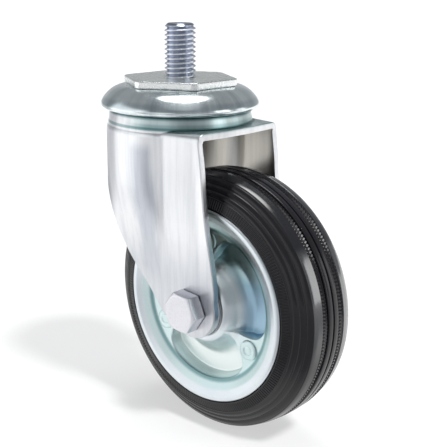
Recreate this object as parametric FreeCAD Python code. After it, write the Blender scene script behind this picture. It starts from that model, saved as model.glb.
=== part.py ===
import FreeCAD, Part
import math
import os

# Swivel castor with a threaded stem: pressed and zinc-plated steel head and
# fork, double ball race, solid rubber tyre on a pressed two-part rim.
# Millimetres, +Z up.  Origin: on the stem axis, at the top face of the
# hexagonal plate, which is the face that meets the furniture.
# The wheel axle runs along Y and the wheel trails towards +X.
# "near" is the -Y side, with the bolt head; "far" is the +Y side.

V = FreeCAD.Vector
os.makedirs("parts", exist_ok=True)

# ------------------------------------------------------------ driving sizes
STEM_R = 6.0            # M12 threaded stem (drawn at its major diameter)
STEM_H = 20.0           # thread above the plate
STEM_CHAMFER = 1.3
PIN_R = 7.0             # king pin, the stem's shank below the plate's top face
PIN_BOTTOM = -20.25     # where the king pin's riveted head starts
PIN_HEAD_R = 9.6
PIN_HEAD_H = 2.6

HEX_AF = 39.4           # hexagonal plate, across flats
HEX_CORNER_R = 22.1     # corners cropped to this radius
HEX_T = 2.8
HEX_TURN = 28.6         # direction of one corner, degrees from +X

BALL_R = 3.0            # upper race, 6 mm balls
BALL_PITCH = 23.0
BALL_Z = -8.5
BALL_N = 22
LBALL_R = 2.5           # lower race, 5 mm balls
LBALL_PITCH = 14.0
LBALL_Z = -15.6
LBALL_N = 16
GAP = 0.12              # running clearance of the balls in their tracks

SHEET = 2.5             # fork sheet
SHELF_Z = -16.2         # top of the flat shelf of the crown
BOSS_R = 27.7           # raised round boss of the crown
BOSS_TOP = -11.0
CROWN_HOLE_R = 9.0
BEND_R = 3.0            # outside bend radius from crown to leg
WRAP_R = 28.3           # upper part of each leg wraps round the head
VALLEY_X = 14.3         # where the wrap meets the flat rear part
LEG_Y = 21.7            # outer face of the flat part of a leg
REAR_X = 30.0           # rear edge of the crown at its corners
REAR_BULGE = 1.5        # the rear edge is slightly convex in plan

AXLE_X = 26.2           # wheel offset behind the stem axis
AXLE_Z = -81.9
WHEEL_R = 50.0
LEG_END_R = 11.4
LEG_END_X = 27.1          # the round end sits a little behind and above the axle
LEG_END_Z = -81.3
BOLT_R = 5.0            # M10 axle bolt
BOLT_AF = 14.0
BOLT_HEAD_H = 6.0
BOLT_TURN = 55.0
NUT_AF = 16.0
NUT_HEX_H = 7.2
NUT_H = 10.0

SLEEVE_R = 6.2          # spacer tube clamped between the legs
SLEEVE_BORE = 5.15
ROLLER_R = 1.45
ROLLER_PITCH = 7.75
ROLLER_N = 11
ROLLER_L = 24.0
HUB_BORE = 9.3
HUB_R = 11.2
HUB_HALF = 18.1
WASHER_R = 10.6
WASHER_T = 0.7

RIM_T = 1.5             # rim sheet
RIVET_PITCH = 24.8
RIVET_ANGLES = (-31.5, 88.5, 208.5)
RIVET_HEAD_R = 4.0
RIVET_R = 2.5
PAD_Y = 12.55           # outer face of the rim's pads
POCKET_DEPTH = 4.2


# ------------------------------------------------------------------ helpers
def revolve_z(points):
    """Solid of revolution about Z from a closed (r, z) outline."""
    return revolve(points, V(0, 0, 1), lambda r, z: V(r, 0, z))


def revolve_y(points):
    """Solid of revolution about the wheel axle from a closed (r, y) outline."""
    s = revolve(points, V(0, 1, 0), lambda r, y: V(r, y, 0))
    s.translate(V(AXLE_X, 0, AXLE_Z))
    return s


def revolve(points, axis, place):
    """Outline items: (a, b) = corner; ('arc', mid, end) = arc through mid;
    ('spline', [points]) = smooth curve on to those points."""
    edges = []
    start = points[0]
    cur = start
    for item in points[1:] + [start]:
        if item[0] == "arc":
            _, mid, end = item
            edges.append(Part.Arc(place(*cur), place(*mid), place(*end)).toShape())
            cur = end
        elif item[0] == "spline":
            pts = [cur] + list(item[1])
            c = Part.BSplineCurve()
            c.interpolate([place(*q) for q in pts])
            edges.append(c.toShape())
            cur = pts[-1]
        else:
            if (abs(cur[0] - item[0]) + abs(cur[1] - item[1])) > 1e-9:
                edges.append(Part.LineSegment(place(*cur), place(*item)).toShape())
            cur = item
    face = Part.Face(Part.Wire(edges))
    solid = face.revolve(V(0, 0, 0), axis, 360)
    if solid.ShapeType != "Solid":
        solid = solid.Solids[0]
    if solid.Volume < 0:
        solid.reverse()
    return solid


def hexagon(radius, turn, centre=(0.0, 0.0)):
    return [(centre[0] + radius * math.cos(math.radians(turn + 60 * i)),
             centre[1] + radius * math.sin(math.radians(turn + 60 * i)))
            for i in range(6)]


def prism_z(points, z0, z1):
    pts = [V(x, y, z0) for x, y in points]
    face = Part.Face(Part.makePolygon(pts + [pts[0]]))
    return face.extrude(V(0, 0, z1 - z0))


def prism_y(points, y0, y1):
    """Outline given in (x, z)."""
    pts = [V(x, y0, z) for x, z in points]
    face = Part.Face(Part.makePolygon(pts + [pts[0]]))
    return face.extrude(V(0, y1 - y0, 0))


def cyl_y(radius, y0, y1, x=AXLE_X, z=AXLE_Z):
    return Part.makeCylinder(radius, y1 - y0, V(x, y0, z), V(0, 1, 0))


def ring_of(shape_at, count, start=0.0):
    return [shape_at(math.radians(start + 360.0 * i / count)) for i in range(count)]


def one(shape):
    """The single solid of a boolean result."""
    shape = shape.removeSplitter() if hasattr(shape, "removeSplitter") else shape
    solids = shape.Solids
    if len(solids) != 1:
        solids = sorted(solids, key=lambda s: -s.Volume)
        print("    pieces:", [round(s.Volume, 3) for s in solids])
    return solids[0]


def save(name, shape):
    if isinstance(shape, list):
        shape = Part.makeCompound(shape)
    ok = all(s.isValid() for s in shape.Solids)
    b = shape.BoundBox
    print("%-16s solids %2d valid %s vol %9.1f  x %.1f..%.1f y %.1f..%.1f z %.1f..%.1f" % (
        name, len(shape.Solids), ok, sum(s.Volume for s in shape.Solids),
        b.XMin, b.XMax, b.YMin, b.YMax, b.ZMin, b.ZMax))
    shape.exportStep(os.path.join("parts", name + ".step"))


# -------------------------------------------------------- stem and king pin
stem = revolve_z([
    (0, STEM_H), (STEM_R - STEM_CHAMFER, STEM_H), (STEM_R, STEM_H - STEM_CHAMFER),
    (STEM_R, 0), (PIN_R, 0), (PIN_R, PIN_BOTTOM), (PIN_HEAD_R, PIN_BOTTOM),
    ("arc", (PIN_HEAD_R - 0.5, PIN_BOTTOM - 1.3), (PIN_HEAD_R - 2.6, PIN_BOTTOM - PIN_HEAD_H + 0.3)),
    (PIN_HEAD_R - 3.6, PIN_BOTTOM - PIN_HEAD_H), (0, PIN_BOTTOM - PIN_HEAD_H)])
save("threaded_stem", stem)

# ------------------------------------------------- hexagonal spanner plate
hexp = prism_z(hexagon(HEX_AF / 2 / math.cos(math.radians(30)), HEX_TURN), -HEX_T, 0)
hexp = hexp.common(prism_z(hexagon(HEX_CORNER_R / math.cos(math.radians(30)), HEX_TURN + 30), -HEX_T, 0))
hexp = hexp.cut(Part.makeCylinder(PIN_R, 10, V(0, 0, -6)))
save("hex_plate", one(hexp))

# ------------------------------------ head dish: cover and upper ball track
RB = BALL_R + GAP
dish = revolve_z([
    (PIN_R, -HEX_T), (20.6, -HEX_T),
    ("spline", [(22.6, -3.0), (24.7, -3.75), (26.5, -4.8), (28.0, -6.05), (29.3, -7.5),
                (30.2, -8.8), (30.5, -9.7), (30.2, -10.6), (29.3, -11.3)]),
    ("arc", (28.6, -11.35), (28.2, -10.9)),
    (27.6, BALL_Z - 0.4), (BALL_PITCH + RB, BALL_Z - 0.4),
    (BALL_PITCH + RB, BALL_Z),
    ("arc", (BALL_PITCH + RB * math.cos(math.radians(45)), BALL_Z + RB * math.sin(math.radians(45))),
     (BALL_PITCH + RB * math.cos(math.radians(80)), BALL_Z + RB * math.sin(math.radians(80)))),
    (21.2, -4.9), (PIN_R, -4.9)])
save("head_dish", dish)

# -------------------------------------------------------------- ball rings
save("upper_balls", ring_of(lambda a: Part.makeSphere(BALL_R, V(BALL_PITCH * math.cos(a), BALL_PITCH * math.sin(a), BALL_Z)), BALL_N))
save("lower_balls", ring_of(lambda a: Part.makeSphere(LBALL_R, V(LBALL_PITCH * math.cos(a), LBALL_PITCH * math.sin(a), LBALL_Z)), LBALL_N))

# --------------------------------------------------------------- lower cup
RL = LBALL_R + GAP
cup_top = LBALL_Z - 2.1
g = math.sqrt(RL * RL - (LBALL_Z - cup_top) ** 2)
cup = revolve_z([
    (PIN_R, -13.7), (8.4, -13.7), (8.4, cup_top), (LBALL_PITCH - g, cup_top),
    ("arc", (LBALL_PITCH, LBALL_Z - RL), (LBALL_PITCH + g, cup_top)),
    (17.0, cup_top), ("arc", (17.9, cup_top - 0.4), (18.3, cup_top - 1.3)),
    (18.3, PIN_BOTTOM), (PIN_R, PIN_BOTTOM)])
save("lower_cup", cup)

# -------------------------------------------------------------------- fork
def smooth(t):
    t = max(0.0, min(1.0, t))
    return t * t * (3 - 2 * t)


def wrap_weight(z):
    """1 where the leg wraps round the head, 0 where it is flat."""
    return 1.0 - smooth((-30.0 - z) / 30.0)


def half_width(x, z):
    """Outer |y| of the leg at x, for x from the front shoulder to the rear."""
    if x < VALLEY_X:
        wrap = math.sqrt(max(WRAP_R ** 2 - x * x, 0.0))
    else:
        y0 = math.sqrt(WRAP_R ** 2 - VALLEY_X ** 2)
        wrap = max(LEG_Y, y0 + (x - VALLEY_X) * (LEG_Y - y0) / (REAR_X - VALLEY_X))
    return LEG_Y + wrap_weight(z) * (wrap - LEG_Y)


SHOULDER_X = -math.sqrt(WRAP_R ** 2 - LEG_Y ** 2)
FAR_X = 48.0


def plan(z, inset):
    """Plan outline at height z, offset inwards, from the front centre along
    the near side to the rear: list of (x, y) with y <= 0."""
    pts = []
    n = 10
    a0 = math.degrees(math.atan2(-LEG_Y, SHOULDER_X)) % 360.0
    for i in range(n):
        a = math.radians(180.0 + (a0 - 180.0) * i / n)
        pts.append((WRAP_R * math.cos(a), WRAP_R * math.sin(a)))
    xs = [SHOULDER_X + (VALLEY_X - SHOULDER_X) * i / 11.0 for i in range(12)]
    xs += [VALLEY_X + (REAR_X - VALLEY_X) * i / 4.0 for i in range(1, 5)] + [36.0, 42.0, FAR_X]
    for x in xs:
        pts.append((x, -half_width(x, z)))
    # soften the corner lines a little
    for _ in range(2):
        q = list(pts)
        for i in range(1, len(pts) - 1):
            if i < 6:
                continue
            q[i] = (pts[i][0], (pts[i - 1][1] + 2 * pts[i][1] + pts[i + 1][1]) / 4.0
                    if 11 < i < len(pts) - 3 and abs(pts[i][0] - VALLEY_X) < 5 else pts[i][1])
        pts = q
    out = []
    for i, (x, y) in enumerate(pts):
        x0, y0 = pts[max(i - 1, 0)]
        x1, y1 = pts[min(i + 1, len(pts) - 1)]
        tx, ty = x1 - x0, y1 - y0
        if i == 0:
            tx, ty = 0.0, -1.0
        if i == len(pts) - 1:
            tx, ty = 1.0, 0.0
        m = math.hypot(tx, ty)
        nx, ny = -ty / m, tx / m          # left of the direction of travel: inwards
        out.append((x + nx * inset, y + ny * inset))
    out[-1] = (FAR_X, out[-1][1])
    return out


def section(z, inset):
    near = plan(z, inset)
    pts = near[::-1] + [(x, -y) for x, y in near[1:]]
    c = Part.BSplineCurve()
    c.interpolate([V(x, y, z) for x, y in pts])
    back = Part.LineSegment(V(pts[-1][0], pts[-1][1], z), V(pts[0][0], pts[0][1], z)).toShape()
    return Part.Wire([c.toShape(), back])


def body(inset, top, bend):
    secs = []
    for i in range(7):
        a = math.radians(90.0 * i / 6.0)
        secs.append(section(top - bend * (1 - math.cos(a)), inset + bend * (1 - math.sin(a))))
    low = top - bend
    for z in (-26.0, -30.0, -34.0, -38.0, -42.0, -46.0, -50.0, -54.0, -58.0, -62.0, -97.0):
        secs.append(section(min(z, low - 1.0), inset))
    return Part.makeLoft(secs, True, True)


outer = body(0.0, SHELF_Z, BEND_R)
inner = body(SHEET, SHELF_Z - SHEET, max(BEND_R - SHEET, 0.5))
shell = outer.cut(inner)

# side outline of the legs, (x, z)
rear_edge = [(33.0, -10.0), (33.0, SHELF_Z - SHEET - 0.3), (30.25, -19.6), (31.0, -25.0), (31.6, -30.5),
             (32.1, -37.0), (32.9, -44.0), (34.2, -52.0), (35.9, -60.0), (37.4, -67.5), (38.2, -74.0)]
end_arc = []
for i in range(19):
    a = math.radians(18.0 - (18.0 + 128.0) * i / 18.0)
    end_arc.append((LEG_END_X + LEG_END_R * math.cos(a), LEG_END_Z + LEG_END_R * math.sin(a)))
front_edge = [(13.0, -87.2), (8.4, -82.3), (3.3, -76.6), (-0.6, -72.3), (-3.9, -68.4), (-6.8, -64.2),
              (-9.3, -60.0), (-11.5, -56.0), (-13.5, -51.8), (-15.4, -47.3), (-17.2, -43.0),
              (-19.2, -38.8), (-21.5, -34.6), (-24.0, -30.9), (-26.4, -28.2), (-28.6, -27.0),
              (-32.0, -27.0), (-32.0, -10.0)]
side = prism_y(rear_edge + end_arc + front_edge, -40, 40)
shell = shell.common(side)

# convex rear edge of the crown, in plan
trim = []
for i in range(13):
    y = -24.0 + 48.0 * i / 12.0
    trim.append((REAR_X + REAR_BULGE * (1 - (y / LEG_Y) ** 2), y))
trim = [(60.0, -24.0)] + trim + [(60.0, 24.0)]
shell = shell.cut(prism_z(trim, -19.55, -5.0))

# the raised boss with its two ball tracks
lo = BOSS_TOP - SHEET
gu = math.sqrt(RB ** 2 - (BALL_Z - BOSS_TOP) ** 2)
gl = math.sqrt(RL ** 2 - (lo - LBALL_Z) ** 2)
boss = revolve_z([
    (BOSS_R, SHELF_Z - SHEET), (BOSS_R, BOSS_TOP - 1.5),
    ("arc", (BOSS_R - 0.44, BOSS_TOP - 0.44), (BOSS_R - 1.5, BOSS_TOP)),
    (BALL_PITCH + gu, BOSS_TOP), ("arc", (BALL_PITCH, BALL_Z - RB), (BALL_PITCH - gu, BOSS_TOP)),
    (CROWN_HOLE_R, BOSS_TOP), (CROWN_HOLE_R, lo),
    (LBALL_PITCH - gl, lo), ("arc", (LBALL_PITCH, LBALL_Z + RL), (LBALL_PITCH + gl, lo)),
    (BOSS_R - SHEET - 1.0, lo), ("arc", (BOSS_R - SHEET - 0.29, lo - 0.29), (BOSS_R - SHEET, lo - 1.0)),
    (BOSS_R - SHEET, SHELF_Z - SHEET)])
# small fillet where the boss rises from the flat part of the shelf
flare = revolve_z([
    (BOSS_R - 0.5, SHELF_Z - 0.8), (BOSS_R + 2.1, SHELF_Z - 0.8), (BOSS_R + 2.1, SHELF_Z - 0.15),
    ("arc", (BOSS_R + 0.66, SHELF_Z + 0.5), (BOSS_R, SHELF_Z + 2.0)), (BOSS_R - 0.5, SHELF_Z + 2.0)])
side_y = 40.0 * math.tan(math.radians(37.0))
flare = flare.common(prism_z([(0, 0), (40, -side_y), (40, side_y)], SHELF_Z - 2, SHELF_Z + 3))
shell = shell.cut(Part.makeCylinder(BOSS_R - SHEET, 4.0, V(0, 0, SHELF_Z - SHEET - 1.0)))
fork = shell.fuse([boss, flare])
fork = fork.cut(cyl_y(BOLT_R + 0.1, -40, 40))
fork = one(fork)
save("fork", fork)

# ---------------------------------------------------------- axle and its nut
near_face = -LEG_Y
head = prism_y([(x, z) for x, z in hexagon(BOLT_AF / 2 / math.cos(math.radians(30)), BOLT_TURN, (AXLE_X, AXLE_Z))],
               near_face - BOLT_HEAD_H, near_face)
rc = BOLT_AF / 2 / math.cos(math.radians(30))
crown_cut = revolve_y([(0, near_face - BOLT_HEAD_H), (BOLT_AF / 2 * 0.97, near_face - BOLT_HEAD_H),
                       (rc + 0.6, near_face - BOLT_HEAD_H + 0.95), (rc + 0.6, near_face), (0, near_face)])
head = head.common(crown_cut)
nut_y0 = LEG_Y
nut_y1 = LEG_Y + NUT_H
bolt = head.fuse(revolve_y([(0, near_face - 0.5), (BOLT_R, near_face - 0.5), (BOLT_R, nut_y1 + 1.6),
                            (BOLT_R - 0.9, nut_y1 + 2.5), (0, nut_y1 + 2.5)]))
save("axle_bolt", one(bolt))

nut = prism_y([(x, z) for x, z in hexagon(NUT_AF / 2 / math.cos(math.radians(30)), 0.0, (AXLE_X, AXLE_Z))],
              nut_y0, nut_y0 + NUT_HEX_H)
rn = NUT_AF / 2 / math.cos(math.radians(30))
nut = nut.common(revolve_y([(0, nut_y0), (NUT_AF / 2 * 0.97, nut_y0), (rn + 0.6, nut_y0 + 0.9),
                            (rn + 0.6, nut_y0 + NUT_HEX_H - 1.0), (NUT_AF / 2 * 0.96, nut_y0 + NUT_HEX_H),
                            (0, nut_y0 + NUT_HEX_H)]))
nut = nut.fuse(revolve_y([(0, nut_y0 + 4.0), (6.9, nut_y0 + 4.0), (6.9, nut_y1 - 0.8),
                          ("arc", (6.6, nut_y1 - 0.2), (6.0, nut_y1)), (0, nut_y1)]))
nut = nut.cut(cyl_y(BOLT_R, nut_y0 - 1, nut_y1 + 1))
nut = nut.cut(cyl_y(6.1, nut_y1 - 2.9, nut_y1 - 0.6))
save("lock_nut", one(nut))
insert = cyl_y(6.1, nut_y1 - 2.9, nut_y1 - 0.6).cut(cyl_y(BOLT_R, nut_y1 - 4, nut_y1 + 1))
save("nut_insert", insert)

inner_face = LEG_Y - SHEET
save("axle_sleeve", cyl_y(SLEEVE_R, -inner_face, inner_face).cut(cyl_y(SLEEVE_BORE, -30, 30)))
washer = cyl_y(WASHER_R, -inner_face, -inner_face + WASHER_T).cut(cyl_y(SLEEVE_R + 0.1, -30, 30))
save("near_washer", washer)
save("far_washer", washer.mirror(V(0, 0, 0), V(0, 1, 0)))

# --------------------------------------------------------- hub and rollers
hub = revolve_y([(HUB_BORE, -HUB_HALF + 0.4), (HUB_BORE + 0.4, -HUB_HALF), (HUB_R - 0.4, -HUB_HALF),
                 (HUB_R, -HUB_HALF + 0.4), (HUB_R, HUB_HALF - 0.4), (HUB_R - 0.4, HUB_HALF),
                 (HUB_BORE + 0.4, HUB_HALF), (HUB_BORE, HUB_HALF - 0.4)])
save("hub_tube", hub)


def roller(a):
    x = AXLE_X + ROLLER_PITCH * math.cos(a)
    z = AXLE_Z + ROLLER_PITCH * math.sin(a)
    return cyl_y(ROLLER_R, -ROLLER_L / 2, ROLLER_L / 2, x, z)


save("rollers", ring_of(roller, ROLLER_N))
cage = cyl_y(HUB_BORE - 0.45, -ROLLER_L / 2 - 3.0, ROLLER_L / 2 + 3.0).cut(cyl_y(SLEEVE_R + 0.45, -30, 30))
for a in [2 * math.pi * i / ROLLER_N for i in range(ROLLER_N)]:
    x = AXLE_X + ROLLER_PITCH * math.cos(a)
    z = AXLE_Z + ROLLER_PITCH * math.sin(a)
    cage = cage.cut(cyl_y(ROLLER_R + 0.12, -ROLLER_L / 2 - 0.15, ROLLER_L / 2 + 0.15, x, z))
save("roller_cage", one(cage))

# --------------------------------------------------------------- rim halves
def kidney(y, grow, mid, place=True):
    """Closed wire of a kidney-shaped pocket at depth y, grown by grow."""
    ro = 28.2 + grow
    ri = 17.6 - grow
    half = 49.0
    pts = []
    outer_pts = [(-half - math.degrees(grow / 23.0), 22.6), (-half + 3.5 - math.degrees(grow / 26.0), 25.0),
                 (-36.0 - math.degrees(grow * 0.8 / 27.0), 26.9 + grow * 0.7), (-24.0, ro - 0.1), (-8.0, ro),
                 (8.0, ro), (24.0, ro - 0.1), (36.0 + math.degrees(grow * 0.8 / 27.0), 26.9 + grow * 0.7),
                 (half - 3.5 + math.degrees(grow / 26.0), 25.0), (half + math.degrees(grow / 23.0), 22.6)]
    inner_pts = [(half - 3.0 + math.degrees(grow * 0.8 / 20.0), 19.8 - grow * 0.4), (34.0, ri + 0.2), (17.0, ri),
                 (0.0, ri), (-17.0, ri), (-34.0, ri + 0.2), (-half + 3.0 - math.degrees(grow * 0.8 / 20.0), 19.8 - grow * 0.4)]
    for a, r in outer_pts + inner_pts:
        t = math.radians(mid + a)
        pts.append(V(AXLE_X + r * math.cos(t), y, AXLE_Z + r * math.sin(t)))
    c = Part.BSplineCurve()
    c.interpolate(pts, PeriodicFlag=True)
    return Part.Wire([c.toShape()])


def rim_half(sign):
    t = RIM_T
    outl = [(HUB_R, 14.9), (HUB_R, 17.3), (HUB_R + 1.2, 17.3),
            ("arc", (HUB_R + 2.3, 16.8), (HUB_R + 3.1, 15.8)),
            (15.9, 13.6), ("arc", (16.7, 12.85), (17.8, PAD_Y)),
            (28.6, PAD_Y), ("arc", (29.3, 12.62), (29.9, 12.95)),
            (33.2, 14.9), ("arc", (35.4, 15.75), (36.8, 15.85)), ("arc", (37.45, 15.6), (37.6, 15.0)),
            (37.6, 14.5), (36.9, 14.2),
            ("arc", (35.4, 14.15), (34.0, 13.55)), (30.6, 11.55),
            ("arc", (29.7, 11.14), (28.8, PAD_Y - t)),
            (18.0, PAD_Y - t), ("arc", (16.2, 11.4), (14.9, 12.4)),
            (13.1, 14.6), ("arc", (12.7, 14.86), (12.2, 14.9))]
    def flip(q):
        if q[0] == "arc":
            return ("arc", (q[1][0], sign * q[1][1]), (q[2][0], sign * q[2][1]))
        return (q[0], sign * q[1])
    rim = revolve_y([flip(q) for q in outl])
    for k in range(3):
        mid = RIVET_ANGLES[0] + 60.0 + 120.0 * k
        top = PAD_Y + 0.6
        floor = PAD_Y - POCKET_DEPTH
        hollow = Part.makeLoft([kidney(sign * top, 0.45, mid), kidney(sign * floor, -2.2, mid)], True, True)
        skin = Part.makeLoft([kidney(sign * (PAD_Y - t * 0.9), 1.25, mid), kidney(sign * (floor - t), -0.6, mid)], True, True)
        rim = rim.fuse(skin).cut(hollow)
    return one(rim)


near_rim = rim_half(-1)
far_rim = rim_half(1)
for a in RIVET_ANGLES:
    x = AXLE_X + RIVET_PITCH * math.cos(math.radians(a))
    z = AXLE_Z + RIVET_PITCH * math.sin(math.radians(a))
    near_rim = near_rim.cut(cyl_y(RIVET_R, -30, 30, x, z))
    far_rim = far_rim.cut(cyl_y(RIVET_R, -30, 30, x, z))
save("near_rim_half", one(near_rim))
save("far_rim_half", one(far_rim))


def rivet(a):
    a = math.radians(a)
    h = 0.9
    pts = [(0, -PAD_Y - h + 0.35), (1.5, -PAD_Y - h + 0.3), (2.2, -PAD_Y - h),
           (RIVET_HEAD_R - 0.8, -PAD_Y - h), ("arc", (RIVET_HEAD_R - 0.2, -PAD_Y - h * 0.75), (RIVET_HEAD_R, -PAD_Y)),
           (RIVET_R, -PAD_Y), (RIVET_R, PAD_Y), (RIVET_HEAD_R, PAD_Y),
           ("arc", (RIVET_HEAD_R - 0.2, PAD_Y + h * 0.75), (RIVET_HEAD_R - 0.8, PAD_Y + h)),
           (2.2, PAD_Y + h), (1.5, PAD_Y + h - 0.3), (0, PAD_Y + h - 0.35)]
    s = revolve_y(pts)
    s.translate(V(RIVET_PITCH * math.cos(a), 0, RIVET_PITCH * math.sin(a)))
    return s


save("rim_rivets", [rivet(a) for a in RIVET_ANGLES])

# -------------------------------------------------------------------- tyre
half = [  # (r, y) outer profile from the rim lip to the middle of the tread
    (38.35, 15.0), (38.6, 15.35), (41.9, 14.35), (42.1, 13.95), (42.5, 13.7), (42.7, 13.85),
    (44.0, 13.05), (44.1, 12.7), (44.5, 12.45), (44.7, 12.6),
    (46.0, 11.75), (46.1, 11.4), (46.5, 11.15), (46.7, 11.3),
    (48.3, 10.3), (48.4, 10.05), (48.75, 9.95), (49.0, 9.7), (49.35, 8.9), (49.7, 6.1), (49.4, 5.9), (49.5, 3.45),
    (48.7, 3.35), (48.7, 2.95), (49.95, 2.85), (50.0, 0.3), (49.1, 0.2)]
prof = [(30.9, 10.95), (31.3, 11.75), (34.2, 13.55 - 0.1), (36.9, 14.1), (37.85, 14.3), (37.85, 14.9)] + half
full = [(r, -y) for r, y in prof] + [(r, y) for r, y in prof[::-1]]
tyre = revolve_y(full)
save("tyre", tyre)
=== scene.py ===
import bpy
import bmesh
import math
import numpy as np
from mathutils import Matrix, Vector


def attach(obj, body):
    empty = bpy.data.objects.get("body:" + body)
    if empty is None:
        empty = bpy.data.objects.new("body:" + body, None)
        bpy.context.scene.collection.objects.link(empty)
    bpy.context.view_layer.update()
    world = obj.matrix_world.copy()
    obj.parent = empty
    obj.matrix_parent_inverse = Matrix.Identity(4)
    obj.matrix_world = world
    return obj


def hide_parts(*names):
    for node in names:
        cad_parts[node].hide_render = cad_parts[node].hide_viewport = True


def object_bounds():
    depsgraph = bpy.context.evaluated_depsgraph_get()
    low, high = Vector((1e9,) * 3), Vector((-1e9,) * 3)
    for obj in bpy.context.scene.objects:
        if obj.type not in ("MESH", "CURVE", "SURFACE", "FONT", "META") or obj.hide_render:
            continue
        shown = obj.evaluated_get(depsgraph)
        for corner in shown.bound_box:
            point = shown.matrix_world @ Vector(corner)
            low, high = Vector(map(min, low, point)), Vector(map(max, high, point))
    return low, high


# Swivel castor with a threaded stem: zinc-plated steel head and fork, double
# ball race, black solid rubber tyre on a pressed steel rim.  The shapes below
# are worked out in millimetres, in the CAD's frame, and scaled to metres.

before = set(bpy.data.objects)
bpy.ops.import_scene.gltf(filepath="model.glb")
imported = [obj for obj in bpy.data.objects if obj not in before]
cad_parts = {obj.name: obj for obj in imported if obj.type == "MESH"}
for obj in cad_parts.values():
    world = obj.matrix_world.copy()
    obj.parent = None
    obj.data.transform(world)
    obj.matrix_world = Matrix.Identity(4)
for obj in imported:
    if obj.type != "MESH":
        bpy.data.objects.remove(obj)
CAD_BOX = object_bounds()

PI = math.pi
AX, AZ = 26.2, -81.9          # wheel axle
STEM_R, STEM_H, PITCH = 6.0, 20.0, 1.75


# ------------------------------------------------------------------ meshes
class Net:
    """Points and faces of one closed piece."""

    def __init__(self):
        self.pts, self.count, self.quads, self.tris = [], 0, [], []

    def add(self, p):
        p = np.asarray(p, float).reshape(-1, 3)
        first = self.count
        self.pts.append(p)
        self.count += len(p)
        return np.arange(first, self.count)

    def grid(self, p, wrap=False):
        """p is (rows, columns, 3); neighbouring rows are joined by quads."""
        idx = self.add(p.reshape(-1, 3)).reshape(p.shape[:2])
        self.join(idx, wrap)
        return idx

    def join(self, idx, wrap=False):
        a, b = idx[:-1], idx[1:]
        if wrap:
            a2, b2 = np.roll(a, -1, 1), np.roll(b, -1, 1)
        else:
            a, a2, b, b2 = a[:, :-1], a[:, 1:], b[:, :-1], b[:, 1:]
        self.quads.append(np.stack([a, a2, b2, b], -1).reshape(-1, 4))

    def ring_join(self, a, b):
        """Two closed rings whose counts are the same or a whole multiple."""
        if len(a) == len(b):
            self.join(np.stack([a, b]), True)
            return
        if len(a) < len(b):
            a, b = b, a
        k = len(a) // len(b)
        t = []
        for j in range(len(b)):
            c0, c1 = b[j], b[(j + 1) % len(b)]
            m = k // 2
            for i in range(k):
                f0, f1 = a[(j * k + i) % len(a)], a[(j * k + i + 1) % len(a)]
                t.append((f0, f1, c0 if i < m else c1))
            t.append((c0, a[(j * k + m) % len(a)], c1))
        self.tris.append(np.array(t))

    def fan(self, ring, centre):
        c = self.add([centre])[0]
        r2 = np.roll(ring, -1)
        self.tris.append(np.stack([ring, r2, np.full(len(ring), c)], -1))


def finish_piece(name, net, material, body, nodes=(), angle=38.0, weld=2e-7):
    p = np.concatenate(net.pts) * 0.001
    quads = np.concatenate(net.quads) if net.quads else np.zeros((0, 4), int)
    tris = np.concatenate(net.tris) if net.tris else np.zeros((0, 3), int)
    me = bpy.data.meshes.new(name)
    me.vertices.add(len(p))
    me.vertices.foreach_set("co", p.ravel())
    loops = np.concatenate([quads.ravel(), tris.ravel()]).astype(np.int32)
    me.loops.add(len(loops))
    me.loops.foreach_set("vertex_index", loops)
    total = np.concatenate([np.full(len(quads), 4), np.full(len(tris), 3)]).astype(np.int32)
    start = np.concatenate([[0], np.cumsum(total)[:-1]]).astype(np.int32)
    me.polygons.add(len(total))
    me.polygons.foreach_set("loop_start", start)
    me.polygons.foreach_set("loop_total", total)
    me.update(calc_edges=True)
    bm = bmesh.new()
    bm.from_mesh(me)
    bmesh.ops.remove_doubles(bm, verts=bm.verts, dist=weld)
    bmesh.ops.dissolve_degenerate(bm, edges=bm.edges, dist=weld)
    loose = [v for v in bm.verts if not v.link_faces]
    if loose:
        bmesh.ops.delete(bm, geom=loose, context="VERTS")
    bmesh.ops.recalc_face_normals(bm, faces=bm.faces)
    if bm.calc_volume(signed=True) < 0:
        bmesh.ops.reverse_faces(bm, faces=bm.faces)
    open_edges = sum(1 for e in bm.edges if len(e.link_faces) != 2)
    bm.to_mesh(me)
    bm.free()
    me.polygons.foreach_set("use_smooth", np.ones(len(me.polygons), bool))
    me.set_sharp_from_angle(angle=math.radians(angle))
    me.materials.append(material)
    ob = bpy.data.objects.new(name, me)
    bpy.context.scene.collection.objects.link(ob)
    print("piece %-16s faces %6d tris %6d open edges %d" % (
        name, len(me.polygons), sum(len(q.vertices) - 2 for q in me.polygons), open_edges))
    if nodes:
        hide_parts(*nodes)
    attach(ob, body)
    return ob


def rounded(points, closed=True, seg=5):
    """Polyline through (a, b, radius) corners, with the corners filleted."""
    out = []
    n = len(points)
    for i in range(n):
        p = np.array(points[i][:2], float)
        rad = points[i][2] if len(points[i]) > 2 else 0.0
        if rad <= 0 or (not closed and i in (0, n - 1)):
            out.append(p)
            continue
        a = np.array(points[i - 1][:2], float) - p
        b = np.array(points[(i + 1) % n][:2], float) - p
        la, lb = np.linalg.norm(a), np.linalg.norm(b)
        a, b = a / la, b / lb
        turn = math.acos(max(-1.0, min(1.0, float(a @ b))))
        if turn > PI - 1e-3:
            out.append(p)
            continue
        cut = min(rad / math.tan(turn / 2), 0.49 * la, 0.49 * lb)
        rad = cut * math.tan(turn / 2)
        mid = (a + b) / np.linalg.norm(a + b)
        c = p + mid * (rad / math.sin(turn / 2))
        p0, p1 = p + a * cut, p + b * cut
        a0 = math.atan2(p0[1] - c[1], p0[0] - c[0])
        a1 = math.atan2(p1[1] - c[1], p1[0] - c[0])
        d = (a1 - a0 + PI) % (2 * PI) - PI
        for k in range(seg + 1):
            t = a0 + d * k / seg
            out.append(c + rad * np.array([math.cos(t), math.sin(t)]))
    return out


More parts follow.
